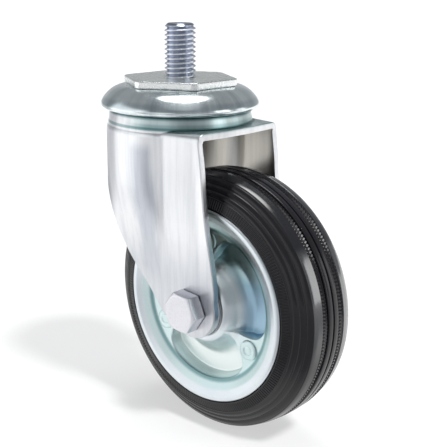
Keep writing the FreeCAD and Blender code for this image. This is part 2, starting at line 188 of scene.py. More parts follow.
def curve(points, step=None, count=None):
    """Smooth curve through the points (centripetal Catmull-Rom), resampled."""
    p = np.array(points, float)
    ends = [2 * p[0] - p[1]] + list(p) + [2 * p[-1] - p[-2]]
    dense = []
    for i in range(1, len(ends) - 2):
        q = ends[i - 1:i + 3]
        t = [0.0]
        for k in range(3):
            t.append(t[-1] + max(np.linalg.norm(q[k + 1] - q[k]), 1e-9) ** 0.5)
        for u in np.linspace(t[1], t[2], 24, endpoint=False):
            a1 = (t[1] - u) / (t[1] - t[0]) * q[0] + (u - t[0]) / (t[1] - t[0]) * q[1]
            a2 = (t[2] - u) / (t[2] - t[1]) * q[1] + (u - t[1]) / (t[2] - t[1]) * q[2]
            a3 = (t[3] - u) / (t[3] - t[2]) * q[2] + (u - t[2]) / (t[3] - t[2]) * q[3]
            b1 = (t[2] - u) / (t[2] - t[0]) * a1 + (u - t[0]) / (t[2] - t[0]) * a2
            b2 = (t[3] - u) / (t[3] - t[1]) * a2 + (u - t[1]) / (t[3] - t[1]) * a3
            dense.append((t[2] - u) / (t[2] - t[1]) * b1 + (u - t[1]) / (t[2] - t[1]) * b2)
    dense.append(p[-1])
    dense = np.array(dense)
    if step is None and count is None:
        return dense
    s = np.concatenate([[0], np.cumsum(np.linalg.norm(np.diff(dense, axis=0), axis=1))])
    if count is None:
        count = max(2, int(round(s[-1] / step)) + 1)
    u = np.linspace(0, s[-1], count)
    return np.stack([np.interp(u, s, dense[:, k]) for k in range(dense.shape[1])], 1)


def about_z(r, a, z):
    return np.stack(np.broadcast_arrays(r * np.cos(a), r * np.sin(a), z), -1)


def about_y(r, a, y):
    return np.stack(np.broadcast_arrays(AX + r * np.cos(a), y, AZ + r * np.sin(a)), -1)


def turned(net, profile, cols, place, closed=True):
    """Revolves (r, h) points; an open profile has to start and end at r = 0."""
    ang = np.linspace(0, 2 * PI, cols, endpoint=False)
    rings = []
    tips = []
    for r, h in profile:
        if r < 1e-6:
            tips.append((len(rings), place(0.0, 0.0, h)))
            continue
        rings.append(net.add(place(r, ang, h)))
    for a, b in zip(rings[:-1], rings[1:]):
        net.ring_join(a, b)
    if closed:
        net.ring_join(rings[-1], rings[0])
    for at, p in tips:
        net.fan(rings[0] if at == 0 else rings[-1], p)
    return rings


def smoothstep(t):
    t = np.clip(t, 0.0, 1.0)
    return t * t * (3 - 2 * t)


# --------------------------------------------------------------- materials
def material(name):
    m = bpy.data.materials.new(name)
    m.use_nodes = True
    nt = m.node_tree
    nt.nodes.clear()
    out = nt.nodes.new("ShaderNodeOutputMaterial")
    bs = nt.nodes.new("ShaderNodeBsdfPrincipled")
    nt.links.new(bs.outputs[0], out.inputs[0])
    return m, nt, bs


def noise(nt, vec, scale, detail=3.0, rough=0.5, stretch=None, seed=0.0):
    if stretch is not None or seed:
        mp = nt.nodes.new("ShaderNodeMapping")
        mp.inputs["Scale"].default_value = stretch or (1, 1, 1)
        mp.inputs["Location"].default_value = (seed, seed * 0.7, -seed * 0.4)
        nt.links.new(vec, mp.inputs["Vector"])
        vec = mp.outputs[0]
    n = nt.nodes.new("ShaderNodeTexNoise")
    n.inputs["Scale"].default_value = scale
    n.inputs["Detail"].default_value = detail
    n.inputs["Roughness"].default_value = rough
    nt.links.new(vec, n.inputs["Vector"])
    return n.outputs["Fac"]


def ramp(nt, fac, stops):
    r = nt.nodes.new("ShaderNodeValToRGB")
    el = r.color_ramp.elements
    el[0].position, el[0].color = stops[0][0], (*stops[0][1], 1)
    el[1].position, el[1].color = stops[-1][0], (*stops[-1][1], 1)
    for pos, c in stops[1:-1]:
        e = el.new(pos)
        e.color = (*c, 1)
    nt.links.new(fac, r.inputs[0])
    return r.outputs[0]


def maths(nt, op, a, b=None, c=None, clamp=False):
    n = nt.nodes.new("ShaderNodeMath")
    n.operation = op
    n.use_clamp = clamp
    for i, v in enumerate((a, b, c)):
        if v is None:
            continue
        if isinstance(v, (int, float)):
            n.inputs[i].default_value = v
        else:
            nt.links.new(v, n.inputs[i])
    return n.outputs[0]


def between(nt, fac, a0, a1, b0, b1):
    n = nt.nodes.new("ShaderNodeMapRange")
    n.inputs["From Min"].default_value = a0
    n.inputs["From Max"].default_value = a1
    n.inputs["To Min"].default_value = b0
    n.inputs["To Max"].default_value = b1
    nt.links.new(fac, n.inputs["Value"])
    return n.outputs[0]


def soft(nt, fac, a, b):
    """0 below a, 1 above b, smooth between (a may be over b)."""
    n = nt.nodes.new("ShaderNodeMapRange")
    n.interpolation_type = "SMOOTHSTEP"
    n.inputs["From Min"].default_value = a
    n.inputs["From Max"].default_value = b
    nt.links.new(fac, n.inputs["Value"])
    return n.outputs[0]


def bump(nt, height, distance, strength=1.0, normal=None):
    b = nt.nodes.new("ShaderNodeBump")
    b.inputs["Strength"].default_value = strength
    b.inputs["Distance"].default_value = distance
    nt.links.new(height, b.inputs["Height"])
    if normal is not None:
        nt.links.new(normal, b.inputs["Normal"])
    return b.outputs[0]


def zinc(name, light=(0.86, 0.87, 0.89), dark=(0.66, 0.69, 0.73), tint=(0.80, 0.86, 0.90),
         rough=(0.17, 0.30), grain=(1, 1, 0.12), grain_scale=900.0, grain_depth=0.000012,
         wave_depth=0.00004, speck=0.5):
    """Zinc plate on steel: clouded tone, fine drawn grain, sparse specks."""
    m, nt, bs = material(name)
    co = nt.nodes.new("ShaderNodeTexCoord").outputs["Object"]
    cloud = noise(nt, co, 55.0, 3.0, 0.55)
    film = noise(nt, co, 26.0, 2.0, 0.5, seed=3.1)
    fine = noise(nt, co, grain_scale, 2.0, 0.6, stretch=grain)
    specks = noise(nt, co, 1500.0, 2.0, 0.7, seed=1.7)
    base = ramp(nt, cloud, [(0.25, dark), (0.52, light), (0.8, light)])
    mix = nt.nodes.new("ShaderNodeMix")
    mix.data_type = "RGBA"
    mix.inputs[7].default_value = (*tint, 1)
    nt.links.new(base, mix.inputs[6])
    nt.links.new(between(nt, film, 0.35, 0.7, 0.0, 0.85), mix.inputs[0])
    dots = ramp(nt, specks, [(0.0, (1 - 0.35 * speck,) * 3), (0.36, (1 - 0.12 * speck,) * 3), (0.5, (1, 1, 1))])
    mul = nt.nodes.new("ShaderNodeMix")
    mul.data_type = "RGBA"
    mul.blend_type = "MULTIPLY"
    mul.inputs[0].default_value = 1.0
    nt.links.new(mix.outputs[2], mul.inputs[6])
    nt.links.new(dots, mul.inputs[7])
    nt.links.new(mul.outputs[2], bs.inputs["Base Color"])
    bs.inputs["Metallic"].default_value = 1.0
    rg = maths(nt, "ADD", maths(nt, "MULTIPLY", fine, 0.5), maths(nt, "MULTIPLY", cloud, 0.5))
    nt.links.new(between(nt, rg, 0.3, 0.7, rough[0], rough[1]), bs.inputs["Roughness"])
    n1 = bump(nt, fine, grain_depth)
    n2 = bump(nt, cloud, wave_depth, 1.0, n1)
    nt.links.new(n2, bs.inputs["Normal"])
    return m


def rubber(name):
    m, nt, bs = material(name)
    co = nt.nodes.new("ShaderNodeTexCoord").outputs["Object"]
    cloud = noise(nt, co, 70.0, 4.0, 0.6)
    fine = noise(nt, co, 1800.0, 3.0, 0.65)
    col = ramp(nt, cloud, [(0.25, (0.0035, 0.0034, 0.0045)), (0.6, (0.0055, 0.0053, 0.007)), (0.8, (0.008, 0.0076, 0.0085))])
    nt.links.new(col, bs.inputs["Base Color"])
    nt.links.new(between(nt, maths(nt, "ADD", maths(nt, "MULTIPLY", fine, 0.45), maths(nt, "MULTIPLY", cloud, 0.55)),
                         0.3, 0.7, 0.12, 0.25), bs.inputs["Roughness"])
    # the mould left the shoulder bands of the tread smooth, and one stretch is polished
    q = coords(nt)
    u, w = maths(nt, "SUBTRACT", q[0], AX * 0.001), maths(nt, "SUBTRACT", q[2], AZ * 0.001)
    r = maths(nt, "SQRT", maths(nt, "ADD", maths(nt, "MULTIPLY", u, u), maths(nt, "MULTIPLY", w, w)))
    y = maths(nt, "ABSOLUTE", q[1])
    band = maths(nt, "MULTIPLY", soft(nt, r, 0.0486, 0.0489), maths(nt, "MULTIPLY", soft(nt, y, 0.0060, 0.0062), soft(nt, y, 0.0101, 0.0099)))
    bs.inputs["IOR"].default_value = 1.48
    bs.inputs["Coat IOR"].default_value = 2.25
    bs.inputs["Coat Roughness"].default_value = 0.14
    around = maths(nt, "ARCTAN2", w, u)
    patch = maths(nt, "MULTIPLY", soft(nt, around, math.radians(37.0), math.radians(32.0)), soft(nt, around, math.radians(-20.0), math.radians(4.0)))
    nt.links.new(maths(nt, "MULTIPLY", band, between(nt, patch, 0.0, 1.0, 0.18, 1.0)), bs.inputs["Coat Weight"])
    n1 = bump(nt, fine, 0.000006)
    nt.links.new(bump(nt, cloud, 0.00004, 1.0, n1), bs.inputs["Normal"])
    return m


def nylon(name, col, dark):
    m, nt, bs = material(name)
    co = nt.nodes.new("ShaderNodeTexCoord").outputs["Object"]
    cloud = noise(nt, co, 240.0, 3.0, 0.5)
    nt.links.new(ramp(nt, cloud, [(0.3, dark), (0.7, col)]), bs.inputs["Base Color"])
    nt.links.new(between(nt, cloud, 0.3, 0.7, 0.42, 0.55), bs.inputs["Roughness"])
    nt.links.new(bump(nt, noise(nt, co, 2500.0, 2.0), 0.000008), bs.inputs["Normal"])
    return m


def times(nt, a, b):
    m = nt.nodes.new("ShaderNodeMix")
    m.data_type = "RGBA"
    m.blend_type = "MULTIPLY"
    m.inputs[0].default_value = 1.0
    nt.links.new(a, m.inputs[6])
    nt.links.new(b, m.inputs[7])
    return m.outputs[2]


def blend(nt, fac, a, b):
    m = nt.nodes.new("ShaderNodeMix")
    m.data_type = "RGBA"
    nt.links.new(fac, m.inputs[0])
    nt.links.new(a, m.inputs[6])
    nt.links.new(b, m.inputs[7])
    return m.outputs[2]


def recolour(m, make):
    """Passes a material's base colour through make(nt, colour)."""
    nt = m.node_tree
    bs = next(n for n in nt.nodes if n.type == "BSDF_PRINCIPLED")
    old = bs.inputs["Base Color"].links[0].from_socket
    nt.links.new(make(nt, old), bs.inputs["Base Color"])


def coords(nt, which="Object"):
    sep = nt.nodes.new("ShaderNodeSeparateXYZ")
    nt.links.new(nt.nodes.new("ShaderNodeTexCoord").outputs[which], sep.inputs[0])
    return sep.outputs


def fork_tones_and_shade(nt, colour):
    """Painted shade and reflection on the fork: teal painted shade on the crown's rear, a dark painted shadow under the
    dish lip, painted shade in the boss's foot crease; a dark painted-reflection streak and band on the legs; darker low
    down; warm painted shade on the inner faces; a drawn grain.
    """
    n, q = coords(nt, "Normal"), coords(nt)
    r = maths(nt, "SQRT", maths(nt, "ADD", maths(nt, "MULTIPLY", q[0], q[0]), maths(nt, "MULTIPLY", q[1], q[1])))
    # painted shade: the crown's rear, shelf and boss, darker and teal
    crown = soft(nt, q[2], -0.0172, -0.0163)
    rear = soft(nt, q[0], -0.004, 0.010)
    colour = times(nt, colour, ramp(nt, maths(nt, "MULTIPLY", crown, rear), [(0.0, (1, 1, 1)), (1.0, (0.66, 0.77, 0.765))]))
    # painted shadow: a dark teal band on the boss's top corner, right under the dish lip
    top = maths(nt, "MULTIPLY", soft(nt, q[2], -0.0133, -0.0121), soft(nt, r, 0.0240, 0.0256))
    colour = times(nt, colour, ramp(nt, top, [(0.0, (1, 1, 1)), (1.0, (0.20, 0.31, 0.31))]))
    # painted shade in the crease where the boss wall meets the shelf
    foot = maths(nt, "MULTIPLY", maths(nt, "MULTIPLY", soft(nt, q[2], -0.0169, -0.0163), soft(nt, q[2], -0.0152, -0.0158)), soft(nt, r, 0.0292, 0.0283))
    colour = times(nt, colour, ramp(nt, foot, [(0.0, (1, 1, 1)), (1.0, (0.42, 0.54, 0.54))]))
    # painted shade: the rear of the boss wall darker and teal
    wall = maths(nt, "MULTIPLY", maths(nt, "MULTIPLY", soft(nt, q[2], -0.0166, -0.0160), soft(nt, q[2], -0.0138, -0.0150)), soft(nt, r, 0.0290, 0.0283))
    colour = times(nt, colour, ramp(nt, maths(nt, "MULTIPLY", wall, rear), [(0.0, (1, 1, 1)), (1.0, (0.58, 0.68, 0.68))]))
    # painted reflection: a wavering dark vertical streak down the legs, standing for a dark band mirrored in the curved
    # wrap
    ripple = noise(nt, nt.nodes.new("ShaderNodeTexCoord").outputs["Object"], 260.0, 3.0, 0.6, stretch=(1, 1, 0.08))
    mid = maths(nt, "ADD", q[0], maths(nt, "MULTIPLY", maths(nt, "SUBTRACT", ripple, 0.5), 0.006))
    painted_reflection_streak = maths(nt, "MULTIPLY", soft(nt, mid, 0.0000, 0.0055), soft(nt, mid, 0.0130, 0.0090))
    painted_reflection_streak = maths(nt, "MULTIPLY", painted_reflection_streak, maths(nt, "MULTIPLY", soft(nt, q[2], -0.0195, -0.025), soft(nt, q[2], -0.080, -0.050)))
    colour = times(nt, colour, ramp(nt, painted_reflection_streak, [(0.0, (1, 1, 1)), (1.0, (0.70, 0.725, 0.77))]))
    # painted reflection: a dark band on the front-left of the wrap, where it mirrors a dark surround
    turn = maths(nt, "ARCTAN2", maths(nt, "ABSOLUTE", q[1]), q[0])
    edge = maths(nt, "MULTIPLY", soft(nt, turn, math.radians(117.0), math.radians(127.0)), soft(nt, turn, math.radians(146.0), math.radians(137.0)))
    edge = maths(nt, "MULTIPLY", edge, maths(nt, "MULTIPLY", soft(nt, q[2], -0.0175, -0.0225), soft(nt, q[2], -0.070, -0.045)))
    colour = times(nt, colour, ramp(nt, edge, [(0.0, (1, 1, 1)), (1.0, (0.50, 0.53, 0.55))]))
    # darker towards the bottom of the legs
    low = soft(nt, q[2], -0.050, -0.072)
    colour = times(nt, colour, ramp(nt, low, [(0.0, (1, 1, 1)), (1.0, (0.78, 0.79, 0.81))]))
    drawn = noise(nt, nt.nodes.new("ShaderNodeTexCoord").outputs["Object"], 420.0, 3.0, 0.6, stretch=(1, 1, 0.05), seed=2.3)
    colour = times(nt, colour, ramp(nt, drawn, [(0.36, (0.90, 0.91, 0.92)), (0.50, (0.975, 0.98, 0.985)), (0.62, (1.02, 1.02, 1.02))]))
    # painted shade on the faces turned inwards to the wheel, warm-tinted as a painted reflection
    facing = maths(nt, "MULTIPLY", n[1], maths(nt, "SIGN", q[1]))
    inner_face_shade = soft(nt, facing, -0.3, -0.75)
    tone = ramp(nt, inner_face_shade, [(0.0, (1, 1, 1)), (1.0, (0.56, 0.53, 0.475))])
    return times(nt, colour, tone)


def stem_root_shade(nt, colour):
    q = coords(nt)
    r = maths(nt, "SQRT", maths(nt, "ADD", maths(nt, "MULTIPLY", q[0], q[0]), maths(nt, "MULTIPLY", q[1], q[1])))
    # painted shade: the thread roots darkened like a cavity, ramped by radius
    tone = ramp(nt, between(nt, r, 0.0049, 0.0060, 0.0, 1.0), [(0.0, (0.30, 0.33, 0.40)), (0.35, (0.62, 0.66, 0.73)), (0.62, (1, 1, 1))])
    return times(nt, colour, tone)


def plate_sides(nt, colour):
    n = coords(nt, "Normal")
    tone = ramp(nt, maths(nt, "ABSOLUTE", n[2]), [(0.0, (1.0, 1.0, 1.0)), (0.6, (1.0, 1.0, 1.0)), (0.9, (0.98, 0.99, 0.97))])
    return times(nt, colour, tone)


def rim_tints_and_shade(nt, colour):
    """Pressed hollows: the pocket at 28.5 degrees painted blue as a reflection, lighter higher up, the others pale
    green, with painted shade on their walls; painted shade darkens the disc and a teal line in the crease; the lip
    stays white.
    """
    q = coords(nt)
    u, w = maths(nt, "SUBTRACT", q[0], 0.0262), maths(nt, "ADD", q[2], 0.0819)
    r = maths(nt, "SQRT", maths(nt, "ADD", maths(nt, "MULTIPLY", u, u), maths(nt, "MULTIPLY", w, w)))
    deep = maths(nt, "MULTIPLY", soft(nt, maths(nt, "ABSOLUTE", q[1]), 0.0127, 0.0088), soft(nt, r, 0.0302, 0.0292))
    # painted reflection: the pocket at 28.5 degrees tinted blue, lighter higher up; the other pockets pale green
    right = soft(nt, maths(nt, "DIVIDE", maths(nt, "ADD", maths(nt, "MULTIPLY", u, 0.879), maths(nt, "MULTIPLY", w, 0.477)), r), 0.0, 0.75)
    high = soft(nt, w, 0.003, 0.017)
    blue_painted_reflection = ramp(nt, high, [(0.0, (0.36, 0.53, 0.66)), (0.5, (0.32, 0.50, 0.60)), (1.0, (0.56, 0.75, 0.77))])
    green = ramp(nt, right, [(0.0, (0.80, 0.87, 0.85)), (1.0, (0.68, 0.79, 0.79))])
    pocket_tint_and_shade = blend(nt, right, green, blue_painted_reflection)
    # painted shade: the steep walls of the hollows darker and teal
    wall_shade_mask = maths(nt, "ABSOLUTE", coords(nt, "Normal")[1])
    pocket_tint_and_shade = times(nt, pocket_tint_and_shade, ramp(nt, wall_shade_mask, [(0.0, (0.88, 0.94, 0.94)), (0.62, (0.90, 0.95, 0.95)), (0.93, (1, 1, 1))]))
    # painted shade: the disc darker, and more teal towards the crease
    disc = soft(nt, r, 0.0338, 0.0325)
    shade = ramp(nt, maths(nt, "MULTIPLY", disc, soft(nt, r, 0.0100, 0.0290)), [(0.0, (0.80, 0.83, 0.86)), (1.0, (0.70, 0.82, 0.82))])
    # painted shade: a dark teal line in the crease inside the lip
    crease_shade_mask = maths(nt, "MULTIPLY", soft(nt, r, 0.0285, 0.0296), soft(nt, r, 0.0312, 0.0299))
    crease_shade_line = ramp(nt, crease_shade_mask, [(0.0, (1, 1, 1)), (1.0, (0.34, 0.47, 0.48))])
    return blend(nt, deep, times(nt, times(nt, colour, shade), crease_shade_line), pocket_tint_and_shade)


M_FORK = zinc("fork_zinc_look", light=(0.87, 0.87, 0.875), dark=(0.76, 0.77, 0.79), tint=(0.82, 0.83, 0.85),
              rough=(0.285, 0.35), grain_depth=0.000004, wave_depth=0.00001, speck=0.12)
recolour(M_FORK, fork_tones_and_shade)
M_HEAD = zinc("head_zinc_look", light=(0.92, 0.95, 0.96), dark=(0.70, 0.75, 0.77), tint=(0.81, 0.89, 0.91),
              rough=(0.13, 0.23), grain=(1, 1, 1), grain_scale=1400.0, grain_depth=0.000005, wave_depth=0.00002, speck=0.3)


def dish_film(nt, colour):
    """Soft radial clouding round the pressed cover."""
    q = nt.nodes.new("ShaderNodeTexCoord").outputs["Object"]
    flat = nt.nodes.new("ShaderNodeVectorMath")
    flat.operation = "MULTIPLY"
    flat.inputs[1].default_value = (1.0, 1.0, 0.0)
    nt.links.new(q, flat.inputs[0])
    unit = nt.nodes.new("ShaderNodeVectorMath")
    unit.operation = "NORMALIZE"
    nt.links.new(flat.outputs[0], unit.inputs[0])
    a = noise(nt, unit.outputs[0], 3.2, 4.0, 0.62, seed=0.9)
    colour = times(nt, colour, ramp(nt, a, [(0.3, (0.66, 0.70, 0.71)), (0.5, (0.94, 0.96, 0.96)), (0.7, (1.12, 1.14, 1.14))]))
    z = coords(nt)[2]
    band = maths(nt, "MULTIPLY", soft(nt, z, -0.0062, -0.0078), soft(nt, z, -0.0097, -0.0088))
    return times(nt, colour, ramp(nt, band, [(0.0, (1, 1, 1)), (1.0, (0.76, 0.79, 0.80))]))


recolour(M_HEAD, dish_film)
M_HEX = zinc("plate_zinc_look", light=(0.91, 0.92, 0.91), dark=(0.78, 0.80, 0.80), tint=(0.86, 0.89, 0.88),
             rough=(0.20, 0.34), grain=(0.15, 1, 1), grain_scale=1100.0, grain_depth=0.000006, wave_depth=0.00001)
recolour(M_HEX, plate_sides)
M_STEM = zinc("stem_zinc_look", light=(0.93, 0.94, 0.98), dark=(0.74, 0.78, 0.86), tint=(0.86, 0.89, 0.95),
              rough=(0.12, 0.22), grain=(1, 1, 1), grain_scale=1800.0, grain_depth=0.000006, wave_depth=0.00001, speck=0.8)
recolour(M_STEM, stem_root_shade)
M_RIM = zinc("rim_zinc_look", light=(0.96, 0.97, 0.97), dark=(0.84, 0.88, 0.89), tint=(0.91, 0.96, 0.96),
             rough=(0.285, 0.36), grain=(1, 1, 1), grain_scale=1300.0, grain_depth=0.000004, wave_depth=0.00002, speck=0.2)
recolour(M_RIM, rim_tints_and_shade)
M_FAST = zinc("fastener_zinc_look", light=(0.80, 0.80, 0.835), dark=(0.62, 0.63, 0.68), tint=(0.74, 0.73, 0.78),
              rough=(0.285, 0.38), grain=(1, 1, 1), grain_scale=2200.0, grain_depth=0.00001, wave_depth=0.00001, speck=0.5)
M_RACE = zinc("race_steel_look", light=(0.70, 0.71, 0.72), dark=(0.50, 0.51, 0.53), tint=(0.62, 0.64, 0.68),
              rough=(0.22, 0.38), grain=(1, 0.1, 1), grain_scale=1000.0)
M_BALL = zinc("bearing_steel_look", light=(0.78, 0.79, 0.80), dark=(0.72, 0.73, 0.74), tint=(0.75, 0.76, 0.79),
              rough=(0.05, 0.11), grain=(1, 1, 1), grain_scale=3000.0, grain_depth=0.000002, wave_depth=0.000002, speck=0.1)
M_RUBBER = rubber("tyre_rubber_look")
M_CAGE = nylon("cage_nylon_look", (0.78, 0.76, 0.68), (0.66, 0.64, 0.56))
M_INSERT = nylon("insert_nylon_look", (0.06, 0.16, 0.50), (0.04, 0.11, 0.38))


# -------------------------------------------------------------------- stem
def thread_radius(phase, major, pitch):
    """Rolled 60 degree thread; phase 0 is a crest, 0.5 a root."""
    q = np.abs(phase - np.round(phase))
    depth = 0.6134 * pitch
    r = major - np.clip(q - 0.0625, 0, None) * pitch * math.sqrt(3.0)
    root = major - depth
    k = 0.07 * pitch
    r = np.log(np.exp(r / k) + np.exp(root / k)) * k - 0.1 * k       # rounded root
    crest = major - 0.006 * pitch
    return -np.log(np.exp(-r / k * 2.2) + np.exp(-crest / k * 2.2)) * k / 2.2 + 0.31 * k * 0.95


def threaded(net, place, major, pitch, h0, h1, chamfer, cols, hand=1.0, chamfer_low=None):
    """Helical thread from h0 to h1 with a coned start at h1. Returns end rings."""
    per = np.array([0.0, 0.05, 0.085, 0.13, 0.19, 0.26, 0.33, 0.39, 0.44, 0.5,
                    0.56, 0.61, 0.67, 0.74, 0.81, 0.87, 0.915, 0.95])
    m = len(per)
    turns = int(math.ceil((h1 - h0) / pitch)) + 3
    ang = np.linspace(0, 2 * PI, cols + 1)
    base = np.concatenate([per + k for k in range(turns)]) * pitch + h0 - 2 * pitch
    h = base[:, None] + pitch * ang[None, :] / (2 * PI)
    h = np.clip(h, h0, h1)
    r = thread_radius((h - pitch * ang[None, :] / (2 * PI)) / pitch - (h0 / pitch), major, pitch)
    r = np.minimum(r, major - chamfer + (h1 - h))
    if chamfer_low is not None:
        r = np.minimum(r, major - chamfer_low + (h - h0))
    p = place(r, hand * ang[None, :], h)
    idx = net.add(p.reshape(-1, 3)).reshape(p.shape[:2])
    net.join(idx)
    low = net.add(place(thread_radius((-pitch * ang[:-1] / (2 * PI)) / pitch, major, pitch)
                        if chamfer_low is None else
                        np.minimum(thread_radius((-pitch * ang[:-1] / (2 * PI)) / pitch, major, pitch), major - chamfer_low),
                        hand * ang[:-1], np.full(cols, h0)))
    top = net.add(place(np.full(cols, major - chamfer), hand * ang[:-1], np.full(cols, h1)))
    return low, top


def make_stem():
    net = Net()
    cols = 144
    low, top = threaded(net, about_z, STEM_R, PITCH, -1.4, STEM_H, 1.3, cols)
    ang = np.linspace(0, 2 * PI, cols, endpoint=False)
    r1 = net.add(about_z(4.35, ang, STEM_H))
    r2 = net.add(about_z(4.1, ang, STEM_H - 0.10))
    r3 = net.add(about_z(2.0, ang, STEM_H - 0.13))
    net.ring_join(top, r1)
    net.ring_join(r1, r2)
    net.ring_join(r2, r3)
    net.fan(r3, (0, 0, STEM_H - 0.14))
    prof = [(4.9, -1.8), (5.6, -2.1), (5.6, -2.95), (6.6, -2.95), (6.95, -3.1), (6.95, -20.3)]
    prof += [tuple(q) for q in rounded([(6.95, -20.3), (9.45, -20.3, 0.3), (9.35, -21.3, 0.8), (7.2, -22.7, 1.0), (5.9, -22.75)], False)[1:]]
    prof += [(5.3, -22.5), (4.0, -22.3), (2.0, -22.25)]
    prev = low
    for r, z in prof:
        ring = net.add(about_z(r, ang, z))
        net.ring_join(prev, ring)
        prev = ring
    net.fan(prev, (0, 0, -22.25))
    return finish_piece("stem_and_king_pin", net, M_STEM, "head", ["threaded_stem"], angle=50)


# --------------------------------------------------------------- hex plate
def line_polygon(normals, dists):
    pts = []
    n = len(normals)
    for i in range(n):
        a0, a1 = normals[i - 1], normals[i]
        m = np.array([[math.cos(a0), math.sin(a0)], [math.cos(a1), math.sin(a1)]])
        pts.append(np.linalg.solve(m, [dists[i - 1], dists[i]]))
    return pts


def dense_loop(loop, step):
    out = []
    n = len(loop)
    for i in range(n):
        a, b = loop[i], loop[(i + 1) % n]
        k = max(1, int(math.ceil(np.linalg.norm(b - a) / step)))
        for j in range(k):
            out.append(a + (b - a) * j / k)
    return np.array(out)


def loop_normals(loop):
    t = np.roll(loop, -1, 0) - np.roll(loop, 1, 0)
    t /= np.linalg.norm(t, axis=1)[:, None]
    return np.stack([t[:, 1], -t[:, 0]], 1)      # outwards for a counter-clockwise loop


def wobble(n, seed, knots, amount):
    """Smooth closed noise of n samples, from fixed waves."""
    a = np.linspace(0, 2 * PI, n, endpoint=False)
    rng = np.random.RandomState(seed)
    s = np.zeros(n)
    for k in range(1, knots):
        s += rng.normal() * np.cos(k * a + rng.uniform(0, 2 * PI)) / math.sqrt(knots)
    return s * amount


def make_hex():
    net = Net()
    turn = math.radians(28.6)
    normals = [turn + math.radians(30 * j) for j in range(12)]
    dists = [22.1 if j % 2 == 0 else 19.7 for j in range(12)]
    poly = line_polygon(normals, dists)
    loop = rounded([(p[0], p[1], 0.9) for p in poly], True, 4)
    loop = dense_loop(np.array(loop), 0.55)
    nrm = loop_normals(loop)
    n = len(loop)
    rough1, rough2 = wobble(n, 5, 150, 0.035), wobble(n, 8, 170, 0.045)
    edge = wobble(n, 11, 60, 0.10)
    rows = [(0.80, 0.0, 0), (0.55, -0.015, 0), (0.33, -0.06, 0), (0.17, -0.15, 0), (0.06, -0.30, 0), (0.0, -0.5, 0.15),
            (0.0, -0.9, 0.35), (0.02, -1.3, 0.6), (0.05, -1.75, 1.0), (0.08, -2.2, 1.0), (0.12, -2.55, 0.7), (0.2, -2.72, 0.3),
            (0.38, -2.8, 0), (1.2, -2.8, 0)]
    ang = np.arctan2(loop[:, 1], loop[:, 0])
    first = None
    prev = None
    bore = 6.25
    for f in (1.0, 0.6, 0.25):
        inner = np.stack([bore * np.cos(ang), bore * np.sin(ang)], 1)
        q = loop - nrm * 0.8
        p = inner * f + q * (1 - f)
        ring = net.add(np.column_stack([p, np.zeros(n)]))
        if prev is not None:
            net.ring_join(prev, ring)
        else:
            first = ring
        prev = ring
    for o, z, w in rows:
        o = o + w * (rough1 if z > -1.6 else rough2)
        q = loop - nrm * (np.full(n, 1.0) * o)[:, None]
        zz = np.full(n, z) + (edge * 0.9 if -2.3 < z < -1.0 else 0)
        ring = net.add(np.column_stack([q, zz]))
        net.ring_join(prev, ring)
        prev = ring
    for r, z in ((bore + 3.0, -2.8), (bore + 0.3, -2.8), (bore, -2.6), (bore, -0.25), (bore + 0.08, -0.08)):
        ring = net.add(about_z(r, ang, np.full(n, z)))
        net.ring_join(prev, ring)
        prev = ring
    net.ring_join(prev, first)
    return finish_piece("spanner_plate", net, M_HEX, "head", ["hex_plate"], angle=45)


# -------------------------------------------------------------- head dish
def make_dish():
    net = Net()
    outer = curve([(19.0, -2.81), (20.6, -2.84), (22.4, -3.02), (24.0, -3.42), (25.5, -4.08), (26.9, -4.98), (28.1, -6.05),
                   (29.15, -7.25), (29.95, -8.45), (30.35, -9.35), (30.42, -9.9), (30.15, -10.5), (29.7, -10.95), (29.2, -11.25)], count=64)
    prof = [(7.2, -2.82), (12.0, -2.81)] + [tuple(q) for q in outer]
    prof += [(28.85, -11.36), (28.5, -11.3), (28.25, -11.05), (27.9, -10.0), (27.6, -8.9), (26.2, -8.9), (26.12, -8.5)]
    for k in range(1, 9):
        a = math.radians(10.0 * k)
        prof.append((23.0 + 3.12 * math.cos(a), -8.5 + 3.12 * math.sin(a)))
    prof += [(21.2, -4.9), (7.2, -4.9)]
    turned(net, prof, 256, about_z)
    return finish_piece("dish_cover", net, M_HEAD, "head", ["head_dish"], angle=40)


# -------------------------------------------------------------------- fork
R_WRAP, VALLEY_X, LEG_Y, REAR_X, SHEET, SHELF, BEND = 28.3, 14.3, 21.7, 30.0, 2.5, -16.2, 3.0
T_VALLEY = R_WRAP * math.acos(-VALLEY_X / R_WRAP)
Y_VALLEY = math.sqrt(R_WRAP ** 2 - VALLEY_X ** 2)
SLOPE = math.atan2(Y_VALLEY - LEG_Y, REAR_X - VALLEY_X)
T_REAR = T_VALLEY + math.hypot(REAR_X - VALLEY_X, Y_VALLEY - LEG_Y)


def plan_table():
    """x and wrap y along the leg's outline at its full wrap, by arc length."""
    t = np.linspace(0, T_REAR + 16.0, 6001)
    circ = PI / 2 - t / R_WRAP
    b1, b2 = 1.3, 2.5
    k1 = smoothstep((t - (T_VALLEY - b1)) / (2 * b1))
    k2 = smoothstep((t - (T_REAR - b2)) / (2 * b2))
    head = circ * (1 - k1) + (-SLOPE) * k1
    head = head * (1 - k2)
    dt = t[1] - t[0]
    dx, dy = np.cos(head), np.sin(head)
    x = -R_WRAP + np.concatenate([[0], np.cumsum((dx[1:] + dx[:-1]) / 2 * dt)])
    y = np.concatenate([[0], np.cumsum((dy[1:] + dy[:-1]) / 2 * dt)])
    return t, x, y


PT, PX, PY = plan_table()


def wrap_weight(z):
    return np.interp(-np.asarray(z, float), WRAP_FADE[:, 0], WRAP_FADE[:, 1])


WRAP_FADE = curve([(10, 1.0), (24, 1.0), (31, 0.985), (38, 0.90), (45, 0.72), (52, 0.50), (59, 0.31), (66, 0.16), (72, 0.055), (77, 0.0), (90, 0.0), (110, 0.0)])


